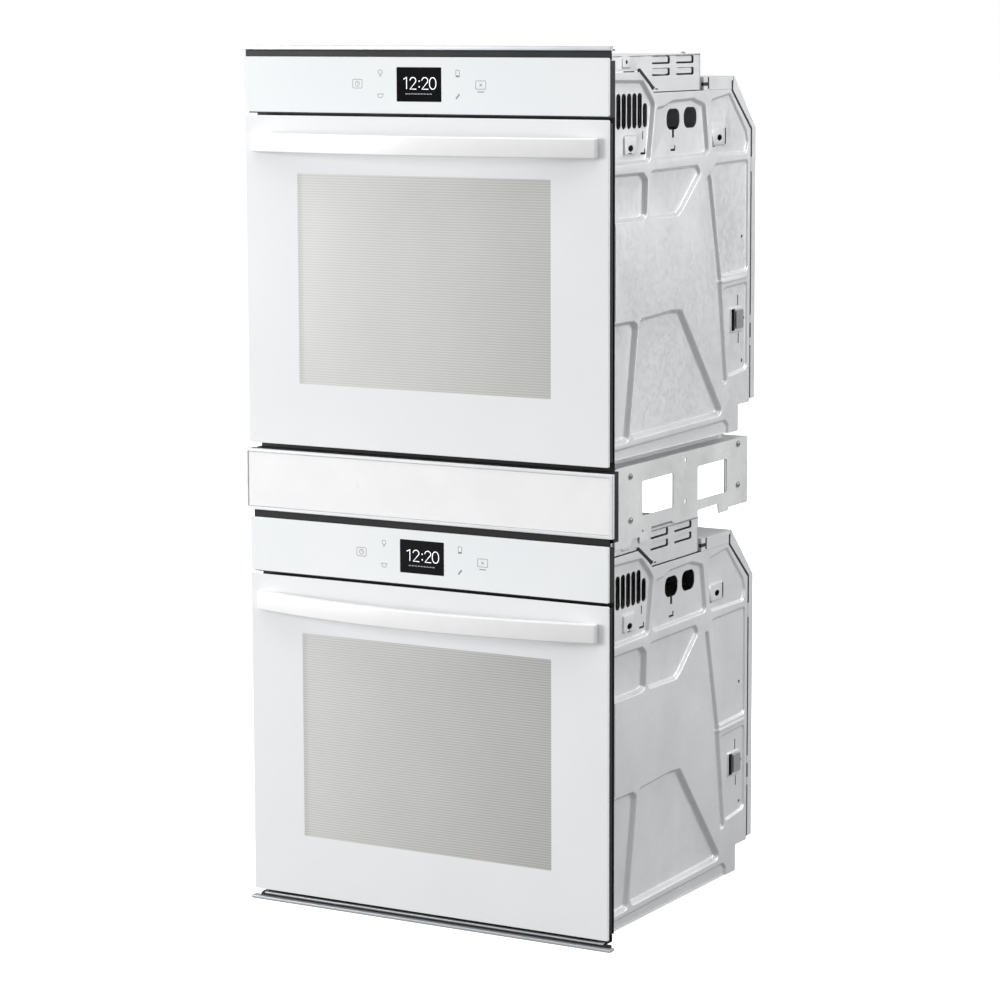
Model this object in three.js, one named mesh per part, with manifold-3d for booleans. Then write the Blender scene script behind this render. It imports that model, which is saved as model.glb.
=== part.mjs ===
// Double wall oven: two equal 24-inch class ovens, one above the other, joined by a spacer and
// framed by a trim strip at the top and the bottom. Units are millimetres, +X is the viewer's
// right, the front faces -Y and +Z is up. The origin is on the shelf plane, at the centre of the
// flat underside of the lower base pan. Inside one oven, y counts back from the face of the door
// glass and z counts up from the lower edge of its side panels.

import * as THREE from 'three';
import { mergeVertices } from 'three/addons/utils/BufferGeometryUtils.js';
import Module from 'manifold-3d';

const wasm = await Module();
wasm.setup();

// ---------------------------------------------------------------- driving dimensions

const FIT = 0.3; // clearance between neighbours that touch
const SHEET = 1; // casing steel
const HEAVY_SHEET = 1.5; // front frame, door frame and spacer steel

// front
const FRONT_WIDTH = 603;
const GLASS = 4;
const DOOR_HEIGHT = 482.3;
const DOOR_DROP = 4.4; // door glass below the side panels' lower edge
const CONTROL_HEIGHT = 80;
const CONTROL_GAP = 5; // between the door and the control panel
const FRAME_DROP = 4; // front frame's top below the control panel's
const FRAME_REVEAL = 4.5; // glass overlap past the black frames on each side
const DOOR_FRAME_DEPTH = 16.7;
const SEAL_GAP = 4.3; // between the closed door and the front frame
const WINDOW_WIDTH = 450; // opening in the door frame
const WINDOW_HEIGHT = 330;
const WINDOW_BOTTOM = 75;
const DISPLAY_WIDTH = 74.4;
const DISPLAY_HEIGHT = 48.8;
const DISPLAY_DEPTH = 14;
const DISPLAY_RISE = 17; // display's lower edge above the control panel's
const DISPLAY_SHIFT = -3.5;

// handle, bowed out in plan
const HANDLE_INSET = 15.5; // from each side of the door
const HANDLE_HEIGHT = 28;
const HANDLE_DROP = 24.9; // below the top of the door
const HANDLE_REACH = 46;
const HANDLE_END = 9; // depth of the bar's square ends
const HANDLE_BAR = 12; // bar depth at its middle
const HANDLE_FOOT = 24; // length of each foot on the glass
const HANDLE_STEPS = 12;

// chassis
const CHASSIS_INSET = 8; // side panel behind the edge of the glass
const CHASSIS_BACK = 468; // rear edge of the side panels
const SIDE_FLANGE = 12; // turned in behind the front frame
const SHOULDER_DROP = 24; // side panel's raised front below the duct's top
const SHOULDER_HEIGHT = 30;
const SHOULDER_END = 112;
const SHOULDER_FOOT = 150;
const REAR_STEP_DEPTH = 38;
const REAR_STEP_HEIGHT = 40;
const REAR_CHAMFER_DEPTH = 66;
const REAR_CHAMFER_HEIGHT = 59;
const PRESSING = 5; // depth of the pressings in the side panels
const BACK_RIM = 16; // depth of the back cover's rim
const TOP_RIM = 19; // height of the rear top cover
const TOP_COVER_GAP = 6; // between the duct and the rear top cover
const DUCT_RISE = 3.1; // above the control panel
const DUCT_REAR_ROOM = 166; // behind the duct
const DUCT_INSET = 2;
const DUCT_SLOT = [56, 10];
const DUCT_SLOT_PITCH = [77, 17];
const DUCT_SLOT_DROP = 31; // lower row below the duct's top
const BASE_DROP = 11.3; // base pan's floor below the side panels' lower edge
const BASE_INSET = 25;
const BASE_FRONT = 45;
const BASE_BRIM = 4; // brim's front edge behind the side panels' flanges
const BACK_COVER_RISE = 5; // back cover above the rear step
const INLET = { x: -200, rise: 60, radius: 14 }; // hole for the supply
const BACK_VENTS = 3;
const BACK_VENT = { width: 80, height: 10, pitch: 120, drop: 60 };

// cavity and what is in it
const CAVITY_WIDTH = 456;
const CAVITY_HEIGHT = 358;
const CAVITY_BOTTOM = 62;
const CAVITY_REAR_ROOM = 58; // behind the cavity, inside the casing
const CAVITY_WALL = 1.2;
const CAVITY_FLANGE = 20;
const RACK_LEVELS = { lower: 176, upper: 281 };
const RACK_WIRE = 6;
const RACK_CLEARANCE = 8; // rack to cavity wall
const RACK_FRONT = 50;
const RACK_REAR_ROOM = 30;
const RACK_CORNER = [52, 40]; // tapered front corners
const RACK_LIP = 12; // raised front rail above the frame
const RACK_BARS = 9;
const RACK_BAR = 4;
const LIP_WIRE = 5;
const LEDGE_WIDTH = 14;
const LEDGE_HEIGHT = 6;
const LEDGE_END = 12; // ledge to the cavity's mouth and back wall
const ELEMENT_TUBE = 7;
const ELEMENT_SIDE_ROOM = 38;
const ELEMENT_FRONT = 90;
const ELEMENT_LIFT = 12; // element's centre off the cavity's floor or roof
const ELEMENT_BEND = 40;
const ELEMENT_PITCH = 90; // between an element's two terminals
const TERMINAL_LENGTH = 20; // behind the cavity
const FAN_HEIGHT = 230;
const FAN_RADIUS = 75;
const FAN_BLADES = 8;
const FAN_BLADE = { depth: 11, length: 38 };
const FAN_HUB = { radius: 10, depth: 10 };
const FAN_SETBACK = 5; // disc in front of the cavity's back wall
const FAN_COVER_MARGIN = 35; // cover's radius past the fan's
const FAN_COVER_DEPTH = 22;
const FAN_COVER_SLOTS = 8;
const FAN_COVER_SLOT = { width: 8, length: 34, middle: 45 };
const MOTOR_RADIUS = 34;
const MOTOR_LENGTH = 44;
const SHAFT_RADIUS = 4;
const SHAFT_LENGTH = 14; // motor shaft inside the cavity
const LAMP = { x: -150, drop: 40, radius: 24, depth: 16, neck: 4, holder: 24 };

// cooling blower, a crossflow wheel across the oven behind the duct
const WHEEL_RADIUS = 30;
const WHEEL_LENGTH = 180;
const WHEEL_BLADES = 10;
const WHEEL_BLADE = { width: 8, tilt: 0.5, inset: 6 };
const WHEEL_REAR_ROOM = 116; // wheel's axle in front of the casing's rear edge
const WHEEL_DROP = 36; // axle below the side panels' top
const AXLE_END = 12;
const HOUSING_CLEARANCE = 6;
const HOUSING_LIP = 8; // trough's lower front edge, and its cut-back at the top
const BLOWER_MOTOR = [24, 40]; // radius and length
const FOOT_WIDTH = 16;

// door hinges
const HINGE_Y = 10;
const HINGE_Z = 8;
const HINGE_INSET = 19; // from each side of the front frame
const HINGE_ARM = [4, 9]; // thickness and height of the arm
const HINGE_PLAY = 1; // each side of the arm
const HINGE_CHEEK = 4;
const HINGE_PIN = 3;
const HINGE_BODY = [12, 80, 25]; // width, depth and height of the part in the chassis

// seal round the mouth of the cavity
const SEAL_MARGIN = 6;
const SEAL_WIDTH = 9;
const SEAL_CORNER = 8;

// spacer and trims
const BRACKET_HEIGHT = 101.2;
const BRACKET_FLANGE = 45;
const BRACKET_INSET = 4; // from the casing's rear edge
const BRACKET_WINDOW = { front: 85, width: 97, gap: 80, height: 50 };
const BRACKET_TAB = { length: 104, drop: 14 }; // front tab that laps the duct
const BRACKET_FOOT = { start: 99, end: 66, drop: 6 }; // small rear tab, from the rear edge
const BRACKET_SETBACK = 12; // flanges behind the plate's front edge
const SPACER_OVERHANG = 7; // past the glass on each side
const SPACER_BEZEL = 7;
const SPACER_HEIGHT = 91.5;
const SPACER_RISE = 11.3; // above the lower control panel
const SPACER_DEPTH = 17;
const SPACER_BACKING_BACK = 33;
const BACKING_OVERHANG = 3; // past the front frame on each side
const TRIM_OVERHANG = 5;
const TOP_TRIM_RISE = 10; // above the upper control panel, which leaves the vent gap
const TOP_TRIM_HEIGHT = 6;
const BOTTOM_TRIM_DROP = 8.6; // front strip below the door glass
const BOTTOM_TRIM_HEIGHT = 7;
const TRIM_PROUD = 3;
const FRONT_CORNER = 2;

// ---------------------------------------------------------------- derived places

const GLASS_HALF = FRONT_WIDTH / 2;
const FRAME_HALF = GLASS_HALF - FRAME_REVEAL;
const CHASSIS_HALF = GLASS_HALF - CHASSIS_INSET;
const CAVITY_HALF = CAVITY_WIDTH / 2;
const CAVITY_BACK = CHASSIS_BACK - CAVITY_REAR_ROOM;
const HINGE_X = FRAME_HALF - HINGE_INSET;
const DOOR_TOP = DOOR_HEIGHT - DOOR_DROP;
const CONTROL_BOTTOM = DOOR_TOP + CONTROL_GAP;
const CONTROL_TOP = CONTROL_BOTTOM + CONTROL_HEIGHT;
const DUCT_HEIGHT = CONTROL_TOP + DUCT_RISE;
const DUCT_BACK = CHASSIS_BACK - DUCT_REAR_ROOM;
const SHOULDER_TOP = DUCT_HEIGHT - SHOULDER_DROP;
const SIDE_TOP = SHOULDER_TOP - SHOULDER_HEIGHT;
const BEHIND_GLASS = GLASS + FIT;
const DOOR_BACK = BEHIND_GLASS + DOOR_FRAME_DEPTH;
const FRAME_FRONT = DOOR_BACK + SEAL_GAP;
const FRAME_BACK = FRAME_FRONT + HEAVY_SHEET;
const CHASSIS_FRONT = FRAME_BACK + FIT;
const CAVITY_TOP = CAVITY_BOTTOM + CAVITY_HEIGHT;
const BACK_FACE = CHASSIS_BACK + FIT + BACK_RIM + SHEET;
const CHAMFER_FOOT = SIDE_TOP - REAR_CHAMFER_HEIGHT;
const CHAMFER_HEAD = CHASSIS_BACK - REAR_CHAMFER_DEPTH;
const CHAMFER_RUN = TOP_RIM * REAR_CHAMFER_DEPTH / (REAR_CHAMFER_HEIGHT * 4); // over the rim
const BASE_BACK = CHASSIS_BACK - REAR_STEP_DEPTH - 5;
const BASE_CENTRE = (BASE_FRONT + BASE_BACK) / 2;
const BASE_HALF = CHASSIS_HALF - BASE_INSET;
const DUCT_HALF = CHASSIS_HALF - DUCT_INSET;
const MOUTH_BACK = FRAME_BACK + FIT + CAVITY_WALL;
const RACK_HALF = CAVITY_HALF - RACK_CLEARANCE;
const RACK_BACK = CAVITY_BACK - RACK_REAR_ROOM;
const LAMP_PLACE = [LAMP.x, CAVITY_TOP - LAMP.drop];
const WHEEL_PLACE = [CHASSIS_BACK - WHEEL_REAR_ROOM, SIDE_TOP - WHEEL_DROP];
const BRACKET_BACK = CHASSIS_BACK - BRACKET_INSET;
const LOWER_BASE = BASE_DROP;
const BRACKET_BOTTOM = LOWER_BASE + DUCT_HEIGHT + FIT;
const BRACKET_TOP = BRACKET_BOTTOM + BRACKET_HEIGHT;
const UPPER_BASE = BRACKET_TOP + FIT + BASE_DROP;
const SPACER_BOTTOM = LOWER_BASE + CONTROL_TOP + SPACER_RISE;
const SPACER_TOP = SPACER_BOTTOM + SPACER_HEIGHT;

// ---------------------------------------------------------------- materials

const paint = (color, roughness, metalness) => ({ color, roughness, metalness });
const FINISH = {
  whiteGlass: paint(0xeef0f2, 0.12, 0),
  whitePaint: paint(0xeceeef, 0.3, 0),
  blackPaint: paint(0x1c1c1e, 0.4, 0.1),
  displayBlack: paint(0x050506, 0.1, 0),
  windowGlass: paint(0xb9bcbe, 0.1, 0),
  galvanised: paint(0xd0d2d2, 0.4, 0.6),
  brightTrim: paint(0xb4b6b8, 0.25, 0.9),
  enamel: paint(0x3a3c40, 0.3, 0.1),
  chrome: paint(0xc9cbcd, 0.15, 1),
  element: paint(0x3b3633, 0.6, 0.5),
  rubber: paint(0x2a2a2b, 0.8, 0),
  lamp: paint(0xe8e4d2, 0.2, 0),
};

// ---------------------------------------------------------------- solid helpers

function toSolid(geometry) {
  const bare = geometry.clone();
  bare.deleteAttribute('normal');
  bare.deleteAttribute('uv');
  const merged = mergeVertices(bare);
  return new wasm.Manifold(new wasm.Mesh({
    numProp: 3,
    vertProperties: new Float32Array(merged.attributes.position.array),
    triVerts: new Uint32Array(merged.index.array),
  }));
}

function toGeometry(solid) {
  const mesh = solid.getMesh();
  const geometry = new THREE.BufferGeometry();
  geometry.setAttribute('position', new THREE.BufferAttribute(mesh.vertProperties, 3));
  geometry.setIndex(new THREE.BufferAttribute(mesh.triVerts, 1));
  geometry.computeVertexNormals();
  return geometry;
}

const joined = (solids) => solids.reduce((whole, solid) => whole.add(solid));
const cut = (solid, tools) => tools.reduce((left, tool) => left.subtract(tool), solid);

// A block between two values on each axis, given in either order.
function block(x, y, z) {
  const size = [x, y, z].map(([a, b]) => Math.abs(b - a));
  const geometry = new THREE.BoxGeometry(...size);
  geometry.translate((x[0] + x[1]) / 2, (y[0] + y[1]) / 2, (z[0] + z[1]) / 2);
  return toSolid(geometry);
}

// A span that is mirrored to the left side when side is -1.
const across = (side, a, b) => [side * a, side * b];
const even = (half) => [-half, half];

// A closed outline whose corners are rounded to the radius, or sharp when it is 0.
function outline(points, radius = 0) {
  const corners = points.map(([x, y]) => new THREE.Vector2(x, y));
  const shape = new THREE.Shape();
  corners.forEach((corner, i) => {
    const before = corners[(i + corners.length - 1) % corners.length];
    const after = corners[(i + 1) % corners.length];
    const reach = Math.min(radius, before.distanceTo(corner) / 2, after.distanceTo(corner) / 2);
    const start = corner.clone().lerp(before, reach / before.distanceTo(corner));
    const end = corner.clone().lerp(after, reach / after.distanceTo(corner));
    if (i === 0) shape.moveTo(start.x, start.y);
    else shape.lineTo(start.x, start.y);
    if (radius > 0) shape.quadraticCurveTo(corner.x, corner.y, end.x, end.y);
  });
  shape.closePath();
  return shape;
}

const rectangle = (x, z) => [[x[0], z[0]], [x[1], z[0]], [x[1], z[1]], [x[0], z[1]]];

const X_AXIS = new THREE.Vector3(1, 0, 0);
const Y_AXIS = new THREE.Vector3(0, 1, 0);
const Z_AXIS = new THREE.Vector3(0, 0, 1);

function extruded(shape, depth, segments = 3) {
  return new THREE.ExtrudeGeometry(shape, { depth, bevelEnabled: false, curveSegments: segments });
}

// An outline of (y, z) points extruded across x.
function sideways(shape, x, segments) {
  const geometry = extruded(shape, Math.abs(x[1] - x[0]), segments);
  geometry.applyMatrix4(new THREE.Matrix4().makeBasis(Y_AXIS, Z_AXIS, X_AXIS));
  geometry.translate(Math.min(x[0], x[1]), 0, 0);
  return toSolid(geometry);
}

// An outline of (x, z) points extruded back over y.
function facing(shape, y, segments) {
  const geometry = extruded(shape, y[1] - y[0], segments);
  geometry.applyMatrix4(new THREE.Matrix4().makeBasis(X_AXIS, Z_AXIS, Y_AXIS.clone().negate()));
  geometry.translate(0, y[1], 0);
  return toSolid(geometry);
}

// An outline of (x, y) points extruded up over z.
function upright(shape, z, segments) {
  const geometry = extruded(shape, z[1] - z[0], segments);
  geometry.translate(0, 0, z[0]);
  return toSolid(geometry);
}

// A cylinder along y or x between two values.
function rod(axis, radius, span, [a, b], sides = 16) {
  const geometry = new THREE.CylinderGeometry(radius, radius, span[1] - span[0], sides);
  const middle = (span[0] + span[1]) / 2;
  if (axis === 'y') geometry.translate(a, middle, b);
  if (axis === 'x') geometry.rotateZ(-Math.PI / 2).translate(middle, a, b);
  return toSolid(geometry);
}

// ---------------------------------------------------------------- casing

// Outline of a side panel, as (y, z).
function sidePanelOutline() {
  const stepBack = CHASSIS_BACK - REAR_STEP_DEPTH;
  return [
    [CHASSIS_FRONT, 0],
    [stepBack, 0],
    [stepBack, REAR_STEP_HEIGHT],
    [CHASSIS_BACK, REAR_STEP_HEIGHT],
    [CHASSIS_BACK, CHAMFER_FOOT],
    [CHAMFER_HEAD, SIDE_TOP],
    [SHOULDER_FOOT, SIDE_TOP],
    [SHOULDER_END, SHOULDER_TOP],
    [CHASSIS_FRONT, SHOULDER_TOP],
  ];
}

// Pressings of a side panel: each is an outline in parts of the panel's depth and height.
const SIDE_PRESSINGS = [
  [[0.02, 0.98], [0.19, 0.98], [0.262, 0.93], [0.236, 0.77], [0.02, 0.77]], // louvre field
  [[0.305, 0.905], [0.41, 0.922], [0.555, 0.922], [0.64, 0.905], [0.665, 0.775], [0.28, 0.765]],
  [[0.695, 0.915], [0.83, 0.935], [0.965, 0.825], [0.965, 0.77], [0.71, 0.77]], // rear top
  [[0.02, 0.738], [0.22, 0.738], [0.222, 0.622], [0.02, 0.622]], // front middle
  [[0.265, 0.74], [0.62, 0.742], [0.48, 0.622], [0.25, 0.622]], // sloping middle
  [[0.19, 0.352], [0.485, 0.36], [0.785, 0.06], [0.135, 0.052]], // large trapezoid
  [[0.02, 0.35], [0.172, 0.345], [0.108, 0.05], [0.02, 0.05]], // front foot
];
const PRESSING_CORNER = 8;

function sidePressings() {
  const depth = CHASSIS_BACK - CHASSIS_FRONT;
  return SIDE_PRESSINGS.map((points) => points.map(([along, up]) => [
    CHASSIS_FRONT + along * depth,
    up * SHOULDER_TOP,
  ]));
}

// The same outline with every corner moved towards its middle by the wall on each axis.
function drawnIn(points, wall) {
  const count = points.length;
  const middle = [0, 1].map((axis) => points.reduce((sum, point) => sum + point[axis], 0) / count);
  return points.map((point) => point.map((value, axis) => (
    value - Math.sign(value - middle[axis]) * wall
  )));
}

// Slots and holes through a side panel, as outlines of (y, z).
const LOUVRE = { first: 43, pitch: 16, tall: 5, width: 11, low: 49, high: 1, shortDrop: 15 };
const PORT = { along: [0.416, 0.541], drop: 38.5, width: 41, height: 30 };

function sideHoles() {
  const holes = [];
  for (let i = 0; i <= LOUVRE.tall; i += 1) {
    const centre = LOUVRE.first + LOUVRE.pitch * i;
    const span = [centre - LOUVRE.width / 2, centre + LOUVRE.width / 2];
    const top = i === LOUVRE.tall ? LOUVRE.shortDrop : -LOUVRE.high;
    holes.push(outline(rectangle(span, [SIDE_TOP - LOUVRE.low, SIDE_TOP - top]), LOUVRE.width / 2));
  }
  for (const along of PORT.along) {
    const low = SIDE_TOP - PORT.drop - PORT.height / 2;
    const start = CHASSIS_FRONT + along * (CHASSIS_BACK - CHASSIS_FRONT) - PORT.width / 2;
    const port = rectangle([start, start + PORT.width], [low, low + PORT.height]);
    holes.push(outline(port, PORT.height / 2));
  }
  return holes;
}

function sidePanel(side) {
  const face = across(side, CHASSIS_HALF - SHEET, CHASSIS_HALF);
  const deep = across(side, CHASSIS_HALF - PRESSING - SHEET, CHASSIS_HALF);
  const hollow = across(side, CHASSIS_HALF - PRESSING, CHASSIS_HALF + SHEET);
  const through = across(side, CHASSIS_HALF - PRESSING - 2 * SHEET, CHASSIS_HALF + SHEET);
  const pressings = sidePressings();
  const pans = pressings.map((points) => sideways(outline(points, PRESSING_CORNER), deep, 1));
  const insides = pressings.map((points) => sideways(
    outline(drawnIn(points, SHEET), PRESSING_CORNER - SHEET),
    hollow,
    1,
  ));
  const flange = block(
    across(side, CHASSIS_HALF - SIDE_FLANGE, CHASSIS_HALF - SHEET / 2),
    [CHASSIS_FRONT, CHASSIS_FRONT + SHEET],
    [0, CONTROL_BOTTOM],
  );
  const sheet = joined([sideways(outline(sidePanelOutline()), face), ...pans, flange]);
  return cut(sheet, [...insides, ...sideHoles().map((hole) => sideways(hole, through, 2))]);
}

// Rear top cover: a shallow tray turned down over the back of the casing.
function topCover() {
  const front = DUCT_BACK + TOP_COVER_GAP;
  const low = SIDE_TOP + FIT;
  const top = low + TOP_RIM;
  const shell = [[front, low], [CHAMFER_HEAD, low], [CHAMFER_HEAD + CHAMFER_RUN, top], [front, top]];
  const inside = rectangle([front + SHEET, CHAMFER_HEAD + TOP_RIM], [low - SHEET, top - SHEET]);
  return cut(sideways(outline(shell), even(CHASSIS_HALF)), [
    sideways(outline(inside), even(CHASSIS_HALF - SHEET)),
  ]);
}

// Vent duct over the front of the casing. It is open at the front and below.
function ventDuct() {
  const gap = SHEET + FIT;
  const top = DUCT_HEIGHT;
  const shell = [
    [CHASSIS_FRONT, SHOULDER_TOP + gap],
    [SHOULDER_END + gap, SHOULDER_TOP + gap],
    [SHOULDER_FOOT + gap, SIDE_TOP + gap],
    [DUCT_BACK, SIDE_TOP + gap],
    [DUCT_BACK, top],
    [CHASSIS_FRONT, top],
  ];
  const inside = rectangle([0, DUCT_BACK - SHEET], [0, top - SHEET]);
  const slots = [];
  for (const side of [-1, 1]) {
    for (const column of [0, 1]) {
      for (const row of [0, 1]) {
        const y = SHOULDER_FOOT + column * DUCT_SLOT_PITCH[0];
        const z = top - DUCT_SLOT_DROP + row * DUCT_SLOT_PITCH[1];
        slots.push(sideways(
          outline(rectangle([y, y + DUCT_SLOT[0]], [z, z + DUCT_SLOT[1]]), 3),
          across(side, DUCT_HALF - 2 * SHEET, DUCT_HALF + SHEET),
          1,
        ));
      }
    }
  }
  return cut(sideways(outline(shell), even(DUCT_HALF)), [
    sideways(outline(inside), even(DUCT_HALF - SHEET)),
    ...slots,
  ]);
}

// Back cover: a pan whose rim laps the rear edges of the side panels, with a supply inlet.
function backCover() {
  const inner = CHASSIS_BACK + SHEET + FIT;
  const low = REAR_STEP_HEIGHT + BACK_COVER_RISE;
  const lift = TOP_RIM + FIT;
  const rim = [
    [inner, low],
    [BACK_FACE, low],
    [BACK_FACE, CHAMFER_FOOT],
    [CHAMFER_HEAD + CHAMFER_RUN + 2 * SHEET, SIDE_TOP + lift],
    [CHAMFER_HEAD + 2 * SHEET, SIDE_TOP + FIT],
    [inner, CHAMFER_FOOT + SHEET],
  ];
  const inside = rim.map(([y, z]) => [y - SHEET, z - SHEET]);
  inside[0] = [0, low - SHEET];
  inside[1] = [BACK_FACE - SHEET, low - SHEET];
  inside[4] = [0, SIDE_TOP + lift - SHEET];
  const pan = cut(sideways(outline(rim), even(CHASSIS_HALF)), [
    sideways(outline(inside.slice(0, 5)), even(CHASSIS_HALF - SHEET)),
  ]);
  const floor = block(
    even(CHASSIS_HALF - SHEET / 2),
    [inner, BACK_FACE - SHEET / 2],
    [low, low + SHEET],
  );
  const through = [BACK_FACE - 2 * SHEET, BACK_FACE + SHEET];
  const inlet = rod('y', INLET.radius, through, [INLET.x, low + INLET.rise], 12);
  const vents = [];
  for (let i = 0; i < BACK_VENTS; i += 1) {
    const middle = (i - (BACK_VENTS - 1) / 2) * BACK_VENT.pitch;
    const x = [middle - BACK_VENT.width / 2, middle + BACK_VENT.width / 2];
    const z = CHAMFER_FOOT - BACK_VENT.drop;
    const vent = outline(rectangle(x, [z, z + BACK_VENT.height]), BACK_VENT.height / 2);
    vents.push(facing(vent, through, 1));
  }
  return cut(pan.add(floor), [inlet, ...vents]);
}

// Base pan: a brim between the side panels and a flat dropped floor that stands on the shelf.
function basePan() {
  const brim = block(
    even(CHASSIS_HALF - SHEET - FIT),
    [CHASSIS_FRONT + SHEET + BASE_BRIM, BASE_BACK],
    [FIT, FIT + SHEET],
  );
  const tub = block(even(BASE_HALF), [BASE_FRONT, BASE_BACK], [-BASE_DROP, FIT + SHEET]);
  const inside = block(
    even(BASE_HALF - SHEET),
    [BASE_FRONT + SHEET, BASE_BACK - SHEET],
    [-BASE_DROP + SHEET, FIT + 2 * SHEET],
  );
  return cut(joined([brim, tub]), [inside]);
}

// Front frame: the black face plate of the chassis, with a tray behind the control panel.
function frontFrame() {
  const top = CONTROL_TOP - FRAME_DROP;
  const trayLow = CONTROL_BOTTOM - 2;
  const plate = block(even(FRAME_HALF), [FRAME_FRONT, FRAME_BACK], [FIT, top]);
  const tray = block(even(FRAME_HALF), [BEHIND_GLASS, FRAME_BACK], [trayLow, top]);
  const trayInside = block(
    even(FRAME_HALF - HEAVY_SHEET),
    [0, FRAME_FRONT],
    [trayLow + HEAVY_SHEET, top - HEAVY_SHEET],
  );
  const mouth = block(
    even(CAVITY_HALF + FIT + CAVITY_WALL),
    [FRAME_FRONT - 1, FRAME_BACK + 1],
    [CAVITY_BOTTOM - CAVITY_WALL - FIT, CAVITY_TOP + CAVITY_WALL + FIT],
  );
  const slot = HINGE_ARM[1] / 2 + HINGE_PLAY;
  const slotHalf = HINGE_ARM[0] / 2 + HINGE_PLAY;
  const hingeSlots = [-1, 1].map((side) => block(
    across(side, HINGE_X - slotHalf, HINGE_X + slotHalf),
    [FRAME_FRONT - 1, FRAME_BACK + 1],
    [HINGE_Z - slot, HINGE_Z + slot],
  ));
  return cut(joined([plate, tray]), [trayInside, mouth, ...hingeSlots]);
}

// ---------------------------------------------------------------- cavity

// Cavity liner with a flange behind the front frame and two pairs of rack ledges.
function cavity() {
  const wall = CAVITY_WALL;
  const front = FRAME_BACK + FIT;
  const tub = block(
    even(CAVITY_HALF + wall),
    [front, CAVITY_BACK + wall],
    [CAVITY_BOTTOM - wall, CAVITY_TOP + wall],
  );
  const flange = block(
    even(CAVITY_HALF + CAVITY_FLANGE),
    [front, MOUTH_BACK],
    [CAVITY_BOTTOM - CAVITY_FLANGE, CAVITY_TOP + CAVITY_FLANGE],
  );
  const inside = block(even(CAVITY_HALF), [0, CAVITY_BACK], [CAVITY_BOTTOM, CAVITY_TOP]);
  const ledges = [];
  for (const side of [-1, 1]) {
    for (const level of Object.values(RACK_LEVELS)) {
      const top = level - RACK_WIRE / 2 - FIT;
      ledges.push(block(
        across(side, CAVITY_HALF - LEDGE_WIDTH, CAVITY_HALF + wall / 2),
        [MOUTH_BACK + LEDGE_END, CAVITY_BACK - LEDGE_END],
        [top - LEDGE_HEIGHT, top],
      ));
    }
  }
  const backWall = [CAVITY_BACK - 1, CAVITY_BACK + wall + 1];
  const openings = [
    rod('y', SHAFT_RADIUS + 3, backWall, [0, FAN_HEIGHT]),
    rod('y', LAMP.radius - LAMP.neck + FIT, backWall, LAMP_PLACE),
    ...terminalPlaces(bakeHeight()).map((place) => rod('y', ELEMENT_TUBE, backWall, place, 8)),
    ...terminalPlaces(broilHeight()).map((place) => rod('y', ELEMENT_TUBE, backWall, place, 8)),
  ];
  return cut(joined([cut(joined([tub, flange]), [inside]), ...ledges]), openings);
}

const bakeHeight = () => CAVITY_BOTTOM + ELEMENT_LIFT;
const broilHeight = () => CAVITY_TOP - ELEMENT_LIFT;
const terminalPlaces = (height) => [-1, 1].map((side) => [side * ELEMENT_PITCH / 2, height]);

// Sheathed heating element: one tube bent into a wide loop, both ends through the back wall.
function element(height) {
  const half = CAVITY_HALF - ELEMENT_SIDE_ROOM;
  const end = CAVITY_BACK + TERMINAL_LENGTH;
  const turn = CAVITY_BACK - 2 * ELEMENT_BEND;
  const inner = ELEMENT_PITCH / 2;
  const corners = [
    [-inner, end],
    [-inner, turn],
    [-half, turn],
    [-half, ELEMENT_FRONT],
    [half, ELEMENT_FRONT],
    [half, turn],
    [inner, turn],
    [inner, end],
  ].map(([x, y]) => new THREE.Vector3(x, y, height));
  const path = new THREE.CurvePath();
  let from = corners[0];
  for (let i = 1; i < corners.length - 1; i += 1) {
    const corner = corners[i];
    const reach = Math.min(ELEMENT_BEND / 2, inner / 2);
    const start = corner.clone().add(corners[i - 1].clone().sub(corner).setLength(reach));
    const stop = corner.clone().add(corners[i + 1].clone().sub(corner).setLength(reach));
    path.add(new THREE.LineCurve3(from, start));
    path.add(new THREE.QuadraticBezierCurve3(start, corner, stop));
    from = stop;
  }
  path.add(new THREE.LineCurve3(from, corners[corners.length - 1]));
  const section = new THREE.Shape().absarc(0, 0, ELEMENT_TUBE / 2, 0, 2 * Math.PI);
  const along = { steps: 44, curveSegments: 3, extrudePath: path };
  return toSolid(new THREE.ExtrudeGeometry(section, along));
}

// Wire rack: a frame with tapered front corners, a raised front rail and bars front to back.
function rack(level) {
  const wire = RACK_WIRE;
  const [cornerX, cornerY] = RACK_CORNER;
  const rim = [
    [-RACK_HALF, RACK_BACK],
    [-RACK_HALF, RACK_FRONT + cornerY],
    [cornerX - RACK_HALF, RACK_FRONT],
    [RACK_HALF - cornerX, RACK_FRONT],
    [RACK_HALF, RACK_FRONT + cornerY],
    [RACK_HALF, RACK_BACK],
  ];
  const inner = rim.map(([x, y]) => [
    x - Math.sign(x) * wire,
    y === RACK_BACK ? y - wire : y + wire,
  ]);
  const z = [level - wire / 2, level + wire / 2];
  const frame = cut(upright(outline(rim), z), [
    upright(outline(inner), [z[0] - 1, z[1] + 1]),
  ]);
  const reach = RACK_HALF - cornerX;
  const bars = [];
  for (let i = 0; i < RACK_BARS; i += 1) {
    const x = (i / (RACK_BARS - 1) - 0.5) * 2 * (reach - wire);
    bars.push(block(
      [x - RACK_BAR / 2, x + RACK_BAR / 2],
      [RACK_FRONT + 1, RACK_BACK - 1],
      [level - RACK_BAR / 2, level + RACK_BAR / 2],
    ));
  }
  const lip = [z[1] - 1, level + RACK_LIP];
  const lipY = [RACK_FRONT, RACK_FRONT + LIP_WIRE];
  const posts = [-1, 1].map((side) => block(across(side, reach - wire, reach), lipY, lip));
  const rail = block(even(reach), lipY, [lip[1] - LIP_WIRE, lip[1]]);
  return joined([frame, ...bars, ...posts, rail]);
}

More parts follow.
